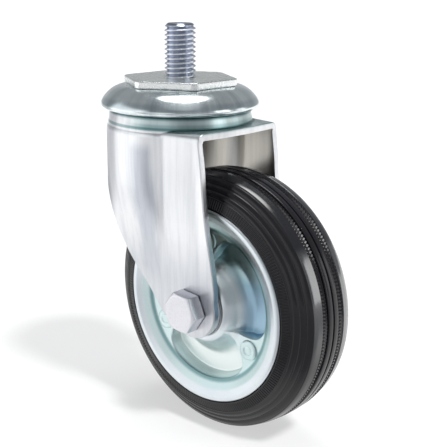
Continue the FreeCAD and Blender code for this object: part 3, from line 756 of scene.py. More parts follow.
def leg_point(t, z):
    """Outer surface of the near leg."""
    x = np.interp(t, PT, PX)
    y = np.interp(t, PT, PY)
    w = 1.0 + (wrap_weight(z) - 1.0) * smoothstep((y - (LEG_Y - 2.0)) / 4.0)
    yy = LEG_Y + w * (y - LEG_Y)
    return np.stack(np.broadcast_arrays(x, -yy, z), -1)


def leg_normal(t, z):
    e = 0.05
    st = leg_point(t + e, z) - leg_point(np.maximum(t - e, 0), z)
    sz = leg_point(t, z + e) - leg_point(t, z - e)
    n = np.cross(st, sz)
    n /= np.linalg.norm(n, axis=-1)[..., None]
    n[n[..., 1] > 0] *= -1
    flat = np.asarray(t) < 1e-9
    n[flat] = (-1.0, 0.0, 0.0)
    return n


def t_of_x(x):
    return np.interp(x, PX, PT)


REAR_EDGE = [(30.25, -19.2), (30.6, -22.0), (31.0, -25.0), (31.6, -30.5), (32.1, -37.0), (32.9, -44.0),
             (34.2, -52.0), (35.9, -60.0), (37.4, -67.5), (38.2, -74.0)]
FRONT_EDGE = [(-26.4, -28.2), (-24.0, -30.9), (-21.5, -34.6), (-19.2, -38.8), (-17.2, -43.0), (-15.4, -47.3),
              (-13.5, -51.8), (-11.5, -56.0), (-9.3, -60.0), (-6.8, -64.2), (-3.9, -68.4), (-0.6, -72.3),
              (3.3, -76.6), (8.4, -82.3), (13.0, -87.2)]
END_X, END_Z, END_R = 27.1, -81.3, 11.4


def end_arc(a):
    return (END_X + END_R * math.cos(math.radians(a)), END_Z + END_R * math.sin(math.radians(a)))


def make_fork():
    net = Net()
    nu, nv, nvc = 120, 96, 9
    # boundaries of the leg in (t, z)
    fr = [(0.0, -27.0), (3.4, -27.08), (6.9, -27.45)] + [(float(t_of_x(x)), z) for x, z in FRONT_EDGE]
    fr += [(float(t_of_x(end_arc(a)[0])), end_arc(a)[1]) for a in (-138.0, -132.0, -126.0)]
    fcurve = curve(fr)
    fcurve = np.concatenate([np.array([[0.0, -19.2]]), fcurve])
    rr = [(float(t_of_x(x)), z) for x, z in REAR_EDGE]
    rr += [(float(t_of_x(end_arc(a)[0])), end_arc(a)[1]) for a in (18.0, 8.0, -2.0, -12.0, -22.0, -32.0, -42.0)]
    rcurve = curve(rr)

    def along(c, s):
        d = np.concatenate([[0], np.cumsum(np.linalg.norm(np.diff(c, axis=0), axis=1))])
        return np.stack([np.interp(s * d[-1], d, c[:, k]) for k in range(2)], -1), d[-1]

    _, flen = along(fcurve, np.zeros(1))
    vc = 7.8 / flen
    v = np.concatenate([np.linspace(0, vc, nvc, endpoint=False), np.linspace(vc, 1, nv - nvc + 1)])
    u = np.linspace(0, 1, nu + 1)
    F = along(fcurve, v)[0]
    R = along(rcurve, v)[0]
    T = np.stack([u * R[0, 0], np.full_like(u, -19.2)], -1)
    arc = np.radians(np.linspace(-126.0, -42.0, nu + 1))
    B = np.stack([t_of_x(END_X + END_R * np.cos(arc)), END_Z + END_R * np.sin(arc)], -1)
    B[0], B[-1] = F[-1], R[-1]
    U, W = u[None, :, None], v[:, None, None]
    P = ((1 - W) * T[None] + W * B[None] + (1 - U) * F[:, None] + U * R[:, None]
         - ((1 - U) * (1 - W) * T[0] + U * (1 - W) * T[-1] + (1 - U) * W * B[0] + U * W * B[-1]))
    P[:nvc + 1, 0, 0] = 0.0
    t, z = P[..., 0], P[..., 1]
    outer = leg_point(t, z)
    nrm = leg_normal(t, z)
    inner = outer - nrm * SHEET
    outer[:nvc + 1, 0, 1] = 0.0
    inner[:nvc + 1, 0, 1] = 0.0

    # crown: one column for each leg column, then the columns of the rear edge
    O = outer[0]
    e = 0.02
    tt = t[0]
    tang = leg_point(tt + e, -19.2) - leg_point(np.maximum(tt - e, 0), -19.2)
    tang /= np.linalg.norm(tang, axis=1)[:, None]
    nin = np.stack([-tang[:, 1], tang[:, 0]], 1)
    nin[0] = (1.0, 0.0)
    shift = np.zeros((len(tt), 2))
    k = smoothstep((tt - (tt[-1] - 8.0)) / 8.0)
    e_raw = O[:, :2] + nin * 3.0
    target = np.array([30.39, -18.7])
    shift = k[:, None] * (target - e_raw[-1])[None, :]
    rear_y = np.linspace(-18.7, 0.0, 31)[1:]
    rear_x = 30.0 + 1.5 * (1 - (rear_y / LEG_Y) ** 2)

    def columns(boss_r, top, corner, shelf, bend, inset, rows_in, fil, k1, k2):
        """Points (column, row, 3) for the side columns and the rear columns."""
        side, back = [], []
        for i in range(len(tt)):
            o, n = O[i, :2], nin[i]

            def bend_at(a):
                d = inset + bend * (1 - math.sin(a))
                f = min(1.0, d / 3.0)
                q = o + n * d + shift[i] * f
                return np.array([q[0], q[1], shelf - bend * (1 - math.cos(a))])

            en = bend_at(0.0)
            re = math.hypot(en[0], en[1])
            if re >= boss_r:
                af = 0.0
                foot = np.array([en[0] / re * boss_r, en[1] / re * boss_r, shelf])
                flat_len = re - boss_r
            else:
                lo, hi = 0.0, PI / 2
                for _ in range(40):
                    mid = (lo + hi) / 2
                    q = bend_at(mid)
                    if math.hypot(q[0], q[1]) < boss_r:
                        lo = mid
                    else:
                        hi = mid
                af = lo
                foot = bend_at(af)
                flat_len = 0.0
            arc_len = bend * (PI / 2 - af)
            total = flat_len + arc_len

            def path(s):
                if s <= flat_len:
                    f = s / flat_len if flat_len > 1e-9 else 1.0
                    return foot + (en - foot) * f
                return bend_at(af + (s - flat_len) / bend)

            split = max(flat_len, 0.3 * total)
            r0 = min(fil, 0.45 * split)
            pts = column_top(math.atan2(foot[1], foot[0]), foot, path, r0, rows_in, boss_r, top, corner)
            s = list(np.linspace(r0, split, k1 + 1)[1:]) + list(np.linspace(split, total, k2 + 1)[1:])
            pts += [path(q) for q in s]
            side.append(pts)
        for x, y in zip(rear_x, rear_y):
            rg = math.hypot(x, y)
            foot = np.array([x / rg * boss_r, y / rg * boss_r, shelf])
            en = np.array([x, y, shelf])
            ln = rg - boss_r
            path = lambda s: foot + (en - foot) * (s / ln)
            r0 = min(fil, 0.45 * ln)
            pts = column_top(math.atan2(y, x), foot, path, r0, rows_in, boss_r, top, corner)
            pts += [path(q) for q in np.linspace(r0, ln, k1 + 1)[1:]]
            back.append(pts)
        return np.array(side), np.array(back)

    def column_top(phi, foot, path, r0, rows_in, boss_r, top, corner):
        c, s = math.cos(phi), math.sin(phi)
        pts = [np.array([r * c, r * s, zz]) for r, zz in rows_in]
        crest = boss_r - 0.6                      # the boss wall leans in a little
        for a in (0, 22.5, 45, 67.5, 90):
            q = math.radians(a)
            pts.append(np.array([(crest - corner * (1 - math.sin(q))) * c, (crest - corner * (1 - math.sin(q))) * s,
                                 top - corner * (1 - math.cos(q))]))
        z_hi, z_lo = top - corner, foot[2] + r0
        for f in (0.34, 0.67, 1.0):
            rw = crest + (boss_r - crest) * f
            pts.append(np.array([rw * c, rw * s, z_hi + (z_lo - z_hi) * f]))
        p0, p1, p2 = pts[-1], foot, path(r0)
        for f in (0.25, 0.5, 0.75, 1.0):
            pts.append(p0 * (1 - f) ** 2 + 2 * p1 * f * (1 - f) + p2 * f * f)
        return pts

    groove = [(23.0 + 3.12 * math.sin(math.radians(a)), -8.5 - 3.12 * math.cos(math.radians(a))) for a in (-36, -20, 0, 20, 36)]
    up = [(9.0, -12.0), (9.0, -11.3), (9.1, -11.1), (9.3, -11.0), (14.0, -11.0), (20.0, -11.0), (21.0, -11.0)] + groove + [(25.05, -11.0)]
    under = [(14.0 + 2.62 * math.sin(math.radians(a)), -15.6 + 2.62 * math.cos(math.radians(a))) for a in (-36, 0, 36)]
    dn = [(9.0, -12.5), (9.0, -13.3), (9.2, -13.5), (12.3, -13.5)] + under + [(15.7, -13.5), (21.0, -13.5)]
    so, bo = columns(27.7, -11.0, 1.5, SHELF, BEND, 0.0, up, 0.7, 7, 11)
    si, bi = columns(25.2, -13.5, 1.0, SHELF - SHEET, 0.5, 2.5, dn, 0.3, 7, 11)
    for arr in (so, si):
        arr[0, :, 1] = 0.0
    outer[0], inner[0] = so[:, -1], si[:, -1]
    for arr in (bo, bi):
        arr[-1, :, 1] = 0.0

    # boundary loop of the half: front edge, leg end, rear edge, bend end, crown rear
    def loop_of(leg, side, back):
        a = leg[nvc:, 0]
        b = leg[-1, 1:]
        c = leg[-2::-1, -1]
        d = side[-1, back.shape[1] - 1:-1][::-1]
        f = back[:, -1]
        return np.concatenate([a, b, c, d, f])

    lo_, li_ = loop_of(outer, so, bo), loop_of(inner, si, bi)

    # inward in-surface direction of each boundary point
    def inward(loop, other):
        tan = np.empty_like(loop)
        tan[1:-1] = loop[2:] - loop[:-2]
        tan[0] = (0, -1, 0)
        tan[-1] = (0, 1, 0)
        tan /= np.maximum(np.linalg.norm(tan, axis=1), 1e-12)[:, None]
        thick = loop - other
        thick /= np.linalg.norm(thick, axis=1)[:, None]
        d = np.cross(thick, tan)
        d /= np.linalg.norm(d, axis=1)[:, None]
        return d, thick

    d_out, th = inward(lo_, li_)
    a_in = outer[nvc + 5, 1] - outer[nvc + 5, 0]
    if float(a_in @ d_out[5]) < 0:
        d_out = -d_out
    ra, rb = 0.38, 0.16
    lo_in = lo_ + d_out * ra
    li_in = li_ + d_out * rb
    rim = []
    for q in (22.5, 45, 67.5, 90):
        q = math.radians(q)
        rim.append(lo_ + d_out * ra * (1 - math.sin(q)) - th * ra * (1 - math.cos(q)))
    for f in (0.35, 0.7):
        rim.append(lo_ * (1 - f) + li_ * f)
    for q in (90, 45):
        q = math.radians(q)
        rim.append(li_ + d_out * rb * (1 - math.sin(q)) + th * rb * (1 - math.cos(q)))

    def put(leg, side, back, inset_loop):
        n1 = leg.shape[0] - nvc
        n2 = leg.shape[1] - 1
        n3 = leg.shape[0] - 1
        flat = back.shape[1]
        n4 = side.shape[1] - flat
        leg[nvc:, 0] = inset_loop[:n1]
        leg[-1, 1:] = inset_loop[n1:n1 + n2]
        leg[-2::-1, -1] = inset_loop[n1 + n2:n1 + n2 + n3]
        side[-1, flat - 1:-1] = inset_loop[n1 + n2 + n3:n1 + n2 + n3 + n4][::-1]
        side[-1, -1] = leg[0, -1]
        back[:, -1] = inset_loop[n1 + n2 + n3 + n4:]

    put(outer, so, bo, lo_in)
    put(inner, si, bi, li_in)
    for sign in (1.0, -1.0):
        flip = np.array([1.0, sign, 1.0])
        for leg, side, back in ((outer, so, bo), (inner, si, bi)):
            net.grid(leg * flip)
            net.grid(side * flip)
            full = np.concatenate([side[-1:, :back.shape[1]], back])
            net.grid(full * flip)
        strips = [lo_in] + rim + [li_in]
        net.grid(np.array(strips) * flip)
        hole = [np.concatenate([side[:, 0], back[:, 0]]) for side, back in ((so, bo), (si, bi))]
        net.grid(np.array(hole) * flip)
    return finish_piece("fork_pressing", net, M_FORK, "swivel", ["fork"], angle=42, weld=1.5e-6)


# -------------------------------------------------------------- wheel: tyre
TEETH = 240


def make_tyre():
    net = Net()
    fine, mid, low = TEETH * 4, TEETH * 2, TEETH // 2
    side = []           # one side from the bead to the middle of the tread, y > 0
    for q in rounded([(33.0, 12.9), (36.9, 14.1, 0.4), (37.75, 14.5, 0.3), (37.9, 15.05)], False, 3):
        side.append(("low", q[0], q[1]))
    side.append(("mid", 38.0, 15.2))
    side.append(("mid", 38.25, 15.3))
    # ribbed band
    band = [(38.45, 15.26, 0.0), (38.6, 15.22, 1.0), (39.4, 14.98, 1.0), (40.3, 14.72, 1.0), (41.3, 14.42, 1.0), (41.65, 14.33, 1.0), (41.8, 14.3, 0.0)]
    for r, y, w in band:
        side.append(("rib", r, y, w))
    prof = rounded([(42.0, 14.2), (42.15, 13.95, 0.12), (42.5, 13.8, 0.12), (42.75, 13.98, 0.2), (43.4, 13.65, 1.5), (44.0, 13.1, 0.2),
                    (44.15, 12.78, 0.12), (44.5, 12.62, 0.12), (44.75, 12.8, 0.2), (45.4, 12.4, 1.5), (46.05, 11.8, 0.2),
                    (46.2, 11.45, 0.12), (46.5, 11.3, 0.12), (46.75, 11.45, 0.2), (47.6, 10.95, 1.5), (48.35, 10.35, 0.2),
                    (48.45, 10.12, 0.1), (48.62, 10.02, 0.1), (48.9, 9.9, 0.1), (49.3, 8.0), (49.7, 6.15, 0.12), (49.45, 6.0)], False, 1)
    for q in prof:
        side.append(("mid", q[0], q[1]))
    zig = [(49.42, 5.92, None), (49.40, 5.6, 0), (49.40, 5.15, 1), (49.40, 4.7, 2), (49.40, 4.25, 1), (49.40, 3.8, 0), (49.42, 3.5, None)]
    for r, y, s in zig:
        side.append(("zig", r, y, s))
    for q in rounded([(49.3, 3.42), (48.75, 3.36, 0.1), (48.75, 2.98, 0.1), (49.75, 2.88, 0.12), (49.93, 2.6, 0.3), (49.98, 1.2, 1.0),
                      (49.93, 0.42, 0.15), (49.25, 0.22, 0.1), (49.2, 0.0)], False, 1):
        side.append(("mid", q[0], q[1]))
    count = {"low": low, "mid": mid, "rib": fine, "zig": fine}

    def ring_of(item, sign):
        kind, r, y = item[0], item[1], item[2]
        cols = count[kind]
        rr, yy = np.full(cols, float(r)), np.full(cols, float(y))
        i = np.arange(cols)
        if kind == "rib" and item[3] > 0:
            up = np.array([0.0, 1.0, 1.0, 0.0])[i % 4]
            yy = yy - 0.24 * (1 - up)
        if kind == "zig" and item[3] is not None:
            up = (((i + item[3]) % 4) < 2).astype(float)
            rr = rr + 0.36 * up
        return rr, sign * yy, cols

    order = [(it, 1.0) for it in side] + [(it, -1.0) for it in side[-2::-1]]
    inner = [("low", 34.0, -11.9), ("low", 31.0, -10.4), ("low", 31.0, 0.0), ("low", 31.0, 10.4), ("low", 34.0, 11.9)]
    prev = first = None
    for item, sign in order + [(it, 1.0) for it in inner]:
        rr, yy, cols = ring_of(item, sign)
        ang = np.linspace(0, 2 * PI, cols, endpoint=False)
        ring = net.add(about_y(rr, ang, yy))
        if prev is None:
            first = ring
        else:
            net.ring_join(prev, ring)
        prev = ring
    net.ring_join(prev, first)
    return finish_piece("solid_tyre", net, M_RUBBER, "wheel", ["tyre"], angle=32)


# --------------------------------------------------------- wheel: rim halves
POCKET_AT = [math.radians(a) for a in (28.5, 148.5, 268.5)]


def pocket_depth(r, a):
    """Three pressed hollows between the rivet pads."""
    d = np.zeros_like(r)
    for mid in POCKET_AT:
        da = np.abs(np.degrees((a - mid + PI) % (2 * PI) - PI))
        edge = np.interp(da, POCKET_EDGE[:, 0], POCKET_EDGE[:, 1])
        d = np.maximum(d, 4.25 * smoothstep((edge - r + 0.1) / 2.0) * smoothstep((r - 13.0) / 8.4))
    return d


POCKET_EDGE = curve([(0, 29.35), (20, 29.25), (33, 28.9), (40, 28.1), (44.5, 26.7), (48, 24.4), (51.5, 20.8), (56, 16.2), (62, 12.0), (180, 10.0)])


def make_rim(sign, name, node):
    net = Net()
    ro = rounded([(11.35, 16.9), (11.35, 17.3, 0.15), (12.5, 17.3, 0.9), (13.9, 16.3, 1.6), (15.9, 13.5, 2.4), (18.2, PAD, 2.4), (28.7, PAD, 0.9),
                  (30.2, 13.2, 1.2), (33.3, 14.95, 3.5), (35.6, 15.85, 2.0), (37.0, 15.9, 0.7), (37.6, 15.2, 0.3)], False, 7)
    outl = np.array(ro)
    # resample by arc length, about 0.3 mm apart
    s = np.concatenate([[0], np.cumsum(np.linalg.norm(np.diff(outl, axis=0), axis=1))])
    n = 96
    u = np.linspace(0, s[-1], n)
    prof = np.stack([np.interp(u, s, outl[:, 0]), np.interp(u, s, outl[:, 1])], 1)
    cols = 480
    ang = np.linspace(0, 2 * PI, cols, endpoint=False)
    first = prev = None
    for r, y in prof:
        dep = pocket_depth(np.full(cols, r), ang) if 13.0 < r < 30.2 else 0.0
        ring = net.add(about_y(np.full(cols, r), ang, sign * (y - dep)))
        if prev is None:
            first = ring
        else:
            net.ring_join(prev, ring)
        prev = ring
    back = rounded([(37.6, 14.85, 0.2), (37.2, 14.35, 0.3), (35.4, 14.2, 1.0), (33.8, 13.4, 1.5), (30.8, 11.6, 1.2), (29.2, PAD - 1.5, 0.8),
                    (18.2, PAD - 1.5, 1.5), (14.9, 12.3, 1.5), (12.9, 14.9, 0.5), (11.35, 14.9, 0.15)], False, 3)
    back = np.array(back)
    s = np.concatenate([[0], np.cumsum(np.linalg.norm(np.diff(back, axis=0), axis=1))])
    u = np.linspace(0, s[-1], 52)
    bp = np.stack([np.interp(u, s, back[:, 0]), np.interp(u, s, back[:, 1])], 1)
    c2 = 240
    ang2 = np.linspace(0, 2 * PI, c2, endpoint=False)
    for r, y in bp:
        dep = pocket_depth(np.full(c2, r), ang2) if 13.0 < r < 30.2 else 0.0
        ring = net.add(about_y(np.full(c2, r), ang2, sign * (y - dep)))
        net.ring_join(prev, ring)
        prev = ring
    net.ring_join(prev, first)
    return finish_piece(name, net, M_RIM, "wheel", [node], angle=50)


PAD = 12.55


def make_rivets():
    net = Net()
    for deg in (-31.5, 88.5, 208.5):
        a = math.radians(deg)
        cx, cz = AX + 24.8 * math.cos(a), AZ + 24.8 * math.sin(a)

        def place(r, t, y, cx=cx, cz=cz):
            return np.stack(np.broadcast_arrays(cx + r * np.cos(t), y, cz + r * np.sin(t)), -1)

        head = rounded([(0.0, 13.15), (1.1, 13.15, 0.3), (1.55, 13.0, 0.3), (2.0, 13.3, 0.4), (3.1, 13.42, 0.5), (3.8, 13.1, 0.3), (3.95, 12.45)], False, 4)
        prof = [(q[0], -q[1]) for q in head] + [(2.5, -12.4), (2.5, 12.4)] + [(q[0], q[1]) for q in head[::-1]]
        turned(net, prof, 56, place, closed=False)
    return finish_piece("rim_rivet_set", net, M_RIM, "wheel", ["rim_rivets"], angle=45)


# ------------------------------------------------------------ bolt and nut
def hex_outline(af, turn, cols_step, fillet):
    normals = [turn + math.radians(30 + 60 * j) for j in range(6)]
    poly = line_polygon(normals, [af / 2] * 6)
    loop = rounded([(p[0], p[1], fillet) for p in poly], True, 4)
    return dense_loop(np.array(loop), cols_step)


def make_bolt():
    net = Net()
    af, h, y0 = 14.0, 6.0, -21.7
    loop = hex_outline(af, math.radians(55.0), 0.28, 0.28)
    n = len(loop)
    rad = np.linalg.norm(loop, axis=1)
    ang = np.arctan2(loop[:, 1], loop[:, 0])
    unit = loop / rad[:, None]
    tan30 = math.tan(math.radians(24.0))
    r0 = af / 2 * 0.955

    def ring(rr, y):
        q = unit * rr[:, None]
        return net.add(np.column_stack([AX + q[:, 0], y, AZ + q[:, 1]]))

    edge_y = y0 - h + 0.08 + np.maximum(rad - r0, 0) * tan30
    rings = []
    rings.append(ring(np.minimum(rad, 5.2), np.full(n, y0)))
    rings.append(ring(np.full(n, 6.45), np.full(n, y0)))
    rings.append(ring(np.full(n, 6.5), np.full(n, y0 - 0.05)))
    rings.append(ring(np.full(n, 6.5), np.full(n, y0 - 0.36)))
    rings.append(ring(rad - 0.3, np.full(n, y0 - 0.38)))
    rings.append(ring(rad - 0.07, np.full(n, y0 - 0.45)))
    rings.append(ring(rad, np.full(n, y0 - 0.62)))
    rings.append(ring(rad, edge_y + 0.16))
    rings.append(ring(rad - 0.04, edge_y + 0.05))
    rings.append(ring(rad - 0.12, edge_y - 0.03 ))
    mids = np.minimum(rad - 0.2, r0 + 0.3)
    rings.append(ring(np.maximum(mids, r0 + 0.02), y0 - h + 0.08 + np.maximum(np.maximum(mids, r0 + 0.02) - r0, 0) * tan30 - 0.02))
    rings.append(ring(np.full(n, r0 - 0.12), np.full(n, y0 - h + 0.015)))
    rings.append(ring(np.full(n, r0 - 0.5), np.full(n, y0 - h)))
    rings.append(ring(np.full(n, 4.6), np.full(n, y0 - h + 0.02)))
    rings.append(ring(np.full(n, 3.9), np.full(n, y0 - h + 0.07)))
    rings.append(ring(np.full(n, 2.0), np.full(n, y0 - h + 0.09)))
    for a, b in zip(rings[:-1], rings[1:]):
        net.ring_join(a, b)
    net.fan(rings[-1], (AX, y0 - h + 0.09, AZ))
    # shank and thread
    cols = n
    place = lambda r, a, y: np.stack(np.broadcast_arrays(AX + r * np.cos(a), y, AZ + r * np.sin(a)), -1)
    sh = []
    for r, y in ((4.95, y0 + 0.2), (4.95, 17.0), (4.6, 18.4)):
        q = unit * r
        sh.append(net.add(np.column_stack([AX + q[:, 0], np.full(n, y), AZ + q[:, 1]])))
    net.ring_join(rings[0], sh[0])
    net.ring_join(sh[0], sh[1])
    net.ring_join(sh[1], sh[2])
    net.fan(sh[2], (AX, 18.4, AZ))
    net2_low, net2_top = threaded(net, place, 5.0, 1.5, 17.5, 34.15, 0.95, 96, hand=-1.0, chamfer_low=1.0)
    net.fan(net2_low, (AX, 17.5, AZ))
    a2 = -np.linspace(0, 2 * PI, 96, endpoint=False)
    t1 = net.add(place(3.6, a2, 34.15))
    t2 = net.add(place(3.3, a2, 34.05))
    net.ring_join(net2_top, t1)
    net.ring_join(t1, t2)
    net.fan(t2, (AX, 34.02, AZ))
    return finish_piece("axle_hex_bolt", net, M_FAST, "swivel", ["axle_bolt"], angle=30)


def make_nut():
    net = Net()
    af, h, y0 = 16.0, 7.2, 21.7
    loop = hex_outline(af, 0.0, 0.3, 0.3)
    n = len(loop)
    rad = np.linalg.norm(loop, axis=1)
    unit = loop / rad[:, None]
    tan30 = math.tan(math.radians(26.0))
    r0 = af / 2 * 0.955

    def ring(rr, y):
        q = unit * np.broadcast_to(rr, (n,))[:, None]
        return net.add(np.column_stack([AX + q[:, 0], np.broadcast_to(y, (n,)), AZ + q[:, 1]]))

    low = y0 + np.maximum(rad - r0, 0) * tan30
    high = y0 + h - np.maximum(rad - r0, 0) * tan30
    rings = [ring(5.02, y0 + 0.5), ring(5.5, y0 + 0.02), ring(r0, y0 + 0.0), ring(rad - 0.12, low), ring(rad, low + 0.14), ring(rad, high - 0.14),
             ring(rad - 0.12, high), ring(r0, y0 + h), ring(7.15, y0 + h), ring(6.95, y0 + h + 0.15), ring(6.9, y0 + h + 0.4),
             ring(6.9, y0 + 9.1), ring(6.8, y0 + 9.5), ring(6.55, y0 + 9.8), ring(6.2, y0 + 9.93), ring(6.0, y0 + 9.95), ring(5.9, y0 + 9.8),
             ring(6.1, y0 + 9.4), ring(6.1, y0 + 7.1), ring(5.02, y0 + 7.1)]
    for a, b in zip(rings, rings[1:] + rings[:1]):
        net.ring_join(a, b)
    return finish_piece("self_locking_nut", net, M_FAST, "swivel", ["lock_nut"], angle=32)


def make_washer(sign, name, node):
    net = Net()
    y0, y1 = 19.2, 18.5
    prof = rounded([(6.35, sign * y0, 0.08), (10.55, sign * y0, 0.12), (10.55, sign * y1, 0.12), (6.35, sign * y1, 0.08)], True, 3)
    turned(net, [tuple(q) for q in prof], 96, about_y)
    return finish_piece(name, net, M_FAST, "swivel", [node], angle=50)


def make_cup():
    net = Net()
    g = math.sqrt(2.62 ** 2 - (-15.6 + 17.7) ** 2)
    prof = rounded([(7.05, -13.7, 0.1), (8.35, -13.7, 0.2), (8.4, -17.7, 0.3), (14.0 - g, -17.7)], False, 3)
    prof += [np.array([14.0 + 2.62 * math.sin(math.radians(a)), -15.6 - 2.62 * math.cos(math.radians(a))]) for a in (-28, -14, 0, 14, 28)]
    prof += rounded([(14.0 + g, -17.7), (17.3, -17.7, 0.4), (18.25, -18.3, 0.9), (18.3, -20.25, 0.5), (7.05, -20.25, 0.1)], False, 4)
    turned(net, [tuple(q) for q in prof], 160, about_z)
    return finish_piece("lower_race_cup", net, M_RACE, "head", ["lower_cup"], angle=45)


def make_hub():
    net = Net()
    prof = rounded([(9.3, -18.1, 0.35), (11.2, -18.1, 0.35), (11.2, 18.1, 0.35), (9.3, 18.1, 0.35)], True, 4)
    turned(net, [tuple(q) for q in prof], 128, about_y)
    return finish_piece("hub_sleeve", net, M_RACE, "wheel", ["hub_tube"], angle=50)


make_stem()
make_hex()
make_dish()
make_fork()
make_tyre()
make_rim(-1.0, "near_rim_pressing", "near_rim_half")
make_rim(1.0, "far_rim_pressing", "far_rim_half")
make_rivets()
make_bolt()
make_nut()
make_washer(-1.0, "near_thrust_washer", "near_washer")
make_washer(1.0, "far_thrust_washer", "far_washer")
make_cup()
make_hub()

LOOK = {"upper_balls": M_BALL, "lower_balls": M_BALL, "rollers": M_BALL, "roller_cage": M_CAGE,
        "nut_insert": M_INSERT, "axle_sleeve": M_RACE}
for node, mat in LOOK.items():
    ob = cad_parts[node]
    for s in ob.material_slots:
        s.material = mat

# -------------------------------------------------- floor, light and camera
FLOOR = CAD_BOX[0][2] if not hasattr(CAD_BOX[0], "z") else CAD_BOX[0].z


def make_floor():
    rings = [0.02, 0.06, 0.12, 0.2, 0.3, 0.45, 0.7, 1.1, 1.8, 3.0, 6.0, 12.0]
    cols = 96
    net = Net()
    ang = np.linspace(0, 2 * PI, cols, endpoint=False)
    prev = net.add(np.stack([AX + 1000 * rings[0] * np.cos(ang), 1000 * rings[0] * np.sin(ang), np.full(cols, FLOOR * 1000)], -1))
    first = prev
    for r in rings[1:]:
        ring = net.add(np.stack([AX + 1000 * r * np.cos(ang), 1000 * r * np.sin(ang), np.full(cols, FLOOR * 1000)], -1))
        net.ring_join(prev, ring)
        prev = ring
    net.fan(first, (AX, 0, FLOOR * 1000))
    p = np.concatenate(net.pts) * 0.001
    me = bpy.data.meshes.new("studio_floor")
    faces = [tuple(f) for f in np.concatenate(net.quads)] + [tuple(f) for f in np.concatenate(net.tris)]
    me.from_pydata([tuple(q) for q in p], [], faces)
    me.update()
    ob = bpy.data.objects.new("studio_floor", me)
    bpy.context.scene.collection.objects.link(ob)
    m, nt, bs = material("floor_paint")
    co = nt.nodes.new("ShaderNodeTexCoord").outputs["Object"]
    sep = nt.nodes.new("ShaderNodeSeparateXYZ")
    nt.links.new(co, sep.inputs[0])
    x, y = sep.outputs[0], sep.outputs[1]
    dist = maths(nt, "MAXIMUM", maths(nt, "SQRT", maths(nt, "ADD", maths(nt, "MULTIPLY", x, x), maths(nt, "MULTIPLY", y, y))), 0.01)
    near = maths(nt, "SUBTRACT", maths(nt, "MULTIPLY", x, 0.672), maths(nt, "MULTIPLY", y, 0.740))
    turn = maths(nt, "ARCTAN2", y, x)
    front = maths(nt, "MULTIPLY", soft(nt, turn, math.radians(-114.0), math.radians(-103.0)), soft(nt, turn, math.radians(75.0), math.radians(35.0)))
    gap = maths(nt, "MULTIPLY", soft(nt, turn, math.radians(-97.0), math.radians(-87.0)), soft(nt, turn, math.radians(-60.0), math.radians(-72.0)))
    front = maths(nt, "MULTIPLY", front, maths(nt, "SUBTRACT", 1.0, maths(nt, "MULTIPLY", gap, 0.5)))
    front = maths(nt, "MULTIPLY", front, soft(nt, near, 0.055, 0.10))
    front = maths(nt, "MULTIPLY", front, between(nt, dist, 0.25, 1.0, 1.0, 0.7))
    side = maths(nt, "MULTIPLY", soft(nt, maths(nt, "ABSOLUTE", turn), math.radians(157.0), math.radians(168.0)), soft(nt, dist, 0.20, 0.30))
    left = maths(nt, "MULTIPLY", soft(nt, turn, math.radians(-95.0), math.radians(-112.0)), soft(nt, turn, math.radians(-165.0), math.radians(-150.0)))
    left = maths(nt, "MULTIPLY", left, maths(nt, "MULTIPLY", soft(nt, dist, 0.095, 0.13), soft(nt, dist, 0.40, 0.12)))
    grey = maths(nt, "MAXIMUM", maths(nt, "MAXIMUM", front, maths(nt, "MULTIPLY", side, 0.9)), maths(nt, "MULTIPLY", left, 0.04))
    # the zones only tint what the plating mirrors; looked at, the floor is plain
    seen = nt.nodes.new("ShaderNodeLightPath").outputs["Is Camera Ray"]
    grey = maths(nt, "MULTIPLY", grey, maths(nt, "SUBTRACT", 1.0, seen))
    nt.links.new(ramp(nt, grey, [(0.0, (0.30, 0.30, 0.30)), (1.0, (0.13, 0.13, 0.135))]), bs.inputs["Base Color"])
    white = maths(nt, "MULTIPLY", soft(nt, turn, math.radians(-106.0), math.radians(-114.0)), soft(nt, turn, math.radians(-168.0), math.radians(-158.0)))
    white = maths(nt, "MULTIPLY", maths(nt, "MULTIPLY", white, soft(nt, dist, 0.19, 0.30)), maths(nt, "SUBTRACT", 1.0, seen))
    glow = ramp(nt, grey, [(0.0, (0.56, 0.56, 0.56)), (1.0, (0.23, 0.235, 0.25))])
    glow = blend(nt, white, glow, ramp(nt, white, [(0.0, (0.56, 0.56, 0.56)), (1.0, (0.80, 0.80, 0.80))]))
    nt.links.new(glow, bs.inputs["Emission Color"])
    bs.inputs["Emission Strength"].default_value = 1.0
    bs.inputs["Roughness"].default_value = 0.85
    bs.inputs["Specular IOR Level"].default_value = 0.2
    me.materials.append(m)
    return ob


make_floor()


world = bpy.data.worlds.new("studio_world")
bpy.context.scene.world = world
world.use_nodes = True
wn = world.node_tree
wn.nodes.clear()
WDIR = wn.nodes.new("ShaderNodeTexCoord").outputs["Generated"]
WSEP = wn.nodes.new("ShaderNodeSeparateXYZ")
wn.links.new(WDIR, WSEP.inputs[0])


def toward(nt, vec, azimuth, elevation):
    d = nt.nodes.new("ShaderNodeVectorMath")
    d.operation = "DOT_PRODUCT"
    a, e = math.radians(azimuth), math.radians(elevation)
    d.inputs[1].default_value = (math.cos(e) * math.cos(a), math.cos(e) * math.sin(a), math.sin(e))
    nt.links.new(vec, d.inputs[0])
    return d.outputs["Value"]


def cone(azimuth, elevation, radius, edge):
    c = toward(wn, WDIR, azimuth, elevation)
    return soft(wn, c, math.cos(math.radians(radius + edge)), math.cos(math.radians(max(radius - edge, 0.0))))


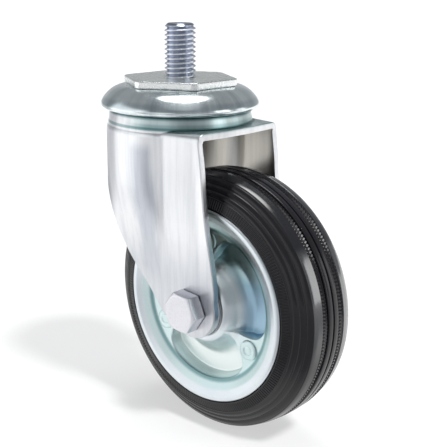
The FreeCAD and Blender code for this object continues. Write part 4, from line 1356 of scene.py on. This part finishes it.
def panel(azimuth, half, edge, low, high, fade):
    """Soft box: a range of azimuth about its middle, from one height to another."""
    a = math.radians(azimuth)
    side = maths(wn, "SUBTRACT", maths(wn, "MULTIPLY", WSEP.outputs[1], math.cos(a)), maths(wn, "MULTIPLY", WSEP.outputs[0], math.sin(a)))
    ahead = maths(wn, "ADD", maths(wn, "MULTIPLY", WSEP.outputs[0], math.cos(a)), maths(wn, "MULTIPLY", WSEP.outputs[1], math.sin(a)))
    ang = maths(wn, "ABSOLUTE", maths(wn, "ARCTAN2", side, ahead))
    h = soft(wn, ang, math.radians(half + edge), math.radians(half - edge))
    z0 = soft(wn, WSEP.outputs[2], math.sin(math.radians(low - fade)), math.sin(math.radians(low + fade)))
    z1 = soft(wn, WSEP.outputs[2], math.sin(math.radians(high + fade)), math.sin(math.radians(high - fade)))
    return maths(wn, "MULTIPLY", h, maths(wn, "MULTIPLY", z0, z1))


# every soft box: its share of the sky, brightness and tint
BOXES = [
    (cone(122.0, 80.5, 13.5, 5.5), 7.6, (1.0, 1.0, 1.0)),
    (panel(-130.0, 33.0, 7.0, -6.0, 34.0, 7.0), 0.78, (1.0, 1.0, 1.01)),
    (panel(20.0, 12.0, 3.0, -6.0, 31.0, 1.5), 1.75, (1.0, 1.0, 1.0)),
    (panel(53.0, 8.0, 2.5, -3.0, 21.0, 2.5), 1.2, (1.0, 1.0, 1.0)),
    (panel(-75.0, 20.0, 5.0, 1.0, 20.0, 4.0), 0.55, (1.0, 1.0, 1.0)),
    (panel(132.0, 40.0, 14.0, -30.0, 12.0, 8.0), 0.18, (1.0, 1.0, 1.0)),
    (cone(-40.0, 66.0, 14.0, 10.0), 0.35, (1.0, 1.0, 1.0)),
]
total = None
for share, power, tint in BOXES:
    scale = wn.nodes.new("ShaderNodeVectorMath")
    scale.operation = "SCALE"
    scale.inputs[0].default_value = tuple(power * c for c in tint)
    wn.links.new(share, scale.inputs["Scale"])
    if total is None:
        total = scale.outputs[0]
    else:
        plus = wn.nodes.new("ShaderNodeVectorMath")
        plus.operation = "ADD"
        wn.links.new(total, plus.inputs[0])
        wn.links.new(scale.outputs[0], plus.inputs[1])
        total = plus.outputs[0]
plus = wn.nodes.new("ShaderNodeVectorMath")
plus.operation = "ADD"
plus.inputs[1].default_value = (0.30, 0.315, 0.33)
wn.links.new(total, plus.inputs[0])
# looked at directly, the studio's far wall is plain and pale
pick = wn.nodes.new("ShaderNodeMix")
pick.data_type = "RGBA"
pick.inputs[7].default_value = (0.93, 0.93, 0.93, 1.0)
wn.links.new(wn.nodes.new("ShaderNodeLightPath").outputs["Is Camera Ray"], pick.inputs[0])
wn.links.new(plus.outputs[0], pick.inputs[6])
bg = wn.nodes.new("ShaderNodeBackground")
wn.links.new(pick.outputs[2], bg.inputs[0])
wo = wn.nodes.new("ShaderNodeOutputWorld")
wn.links.new(bg.outputs[0], wo.inputs[0])

sun_data = bpy.data.lights.new("key_light", "SUN")
sun_data.energy = 3.6
sun_data.angle = math.radians(9.0)
sun = bpy.data.objects.new("key_light", sun_data)
bpy.context.scene.collection.objects.link(sun)
sun_dir = Vector((math.cos(math.radians(55)) * math.cos(math.radians(-6)), math.cos(math.radians(55)) * math.sin(math.radians(-6)), math.sin(math.radians(55))))
sun.rotation_euler = (-sun_dir).to_track_quat("-Z", "Y").to_euler()
sun.visible_glossy = False

az, el, roll = math.radians(42.237), math.radians(15.347), math.radians(0.51)
right = Vector((math.cos(az), math.sin(az), 0.0))
back = Vector((math.cos(el) * math.sin(az), -math.cos(el) * math.cos(az), math.sin(el)))
up = back.cross(right)
cx = math.cos(roll) * right + math.sin(roll) * up
cy = -math.sin(roll) * right + math.cos(roll) * up
pos = Vector((0.012588, 0.011428, -0.058031)) + 0.385324 * back
cam_data = bpy.data.cameras.new("photo_camera")
cam_data.lens = 970.379 / 447.0 * 36.0
cam_data.sensor_width = 36.0
cam_data.sensor_fit = "AUTO"
cam_data.clip_start = 0.01
cam_data.clip_end = 60.0
cam = bpy.data.objects.new("photo_camera", cam_data)
bpy.context.scene.collection.objects.link(cam)
cam.matrix_world = Matrix(((cx.x, cy.x, back.x, pos.x), (cx.y, cy.y, back.y, pos.y), (cx.z, cy.z, back.z, pos.z), (0, 0, 0, 1)))
bpy.context.scene.camera = cam
bpy.context.scene.view_settings.view_transform = "Standard"
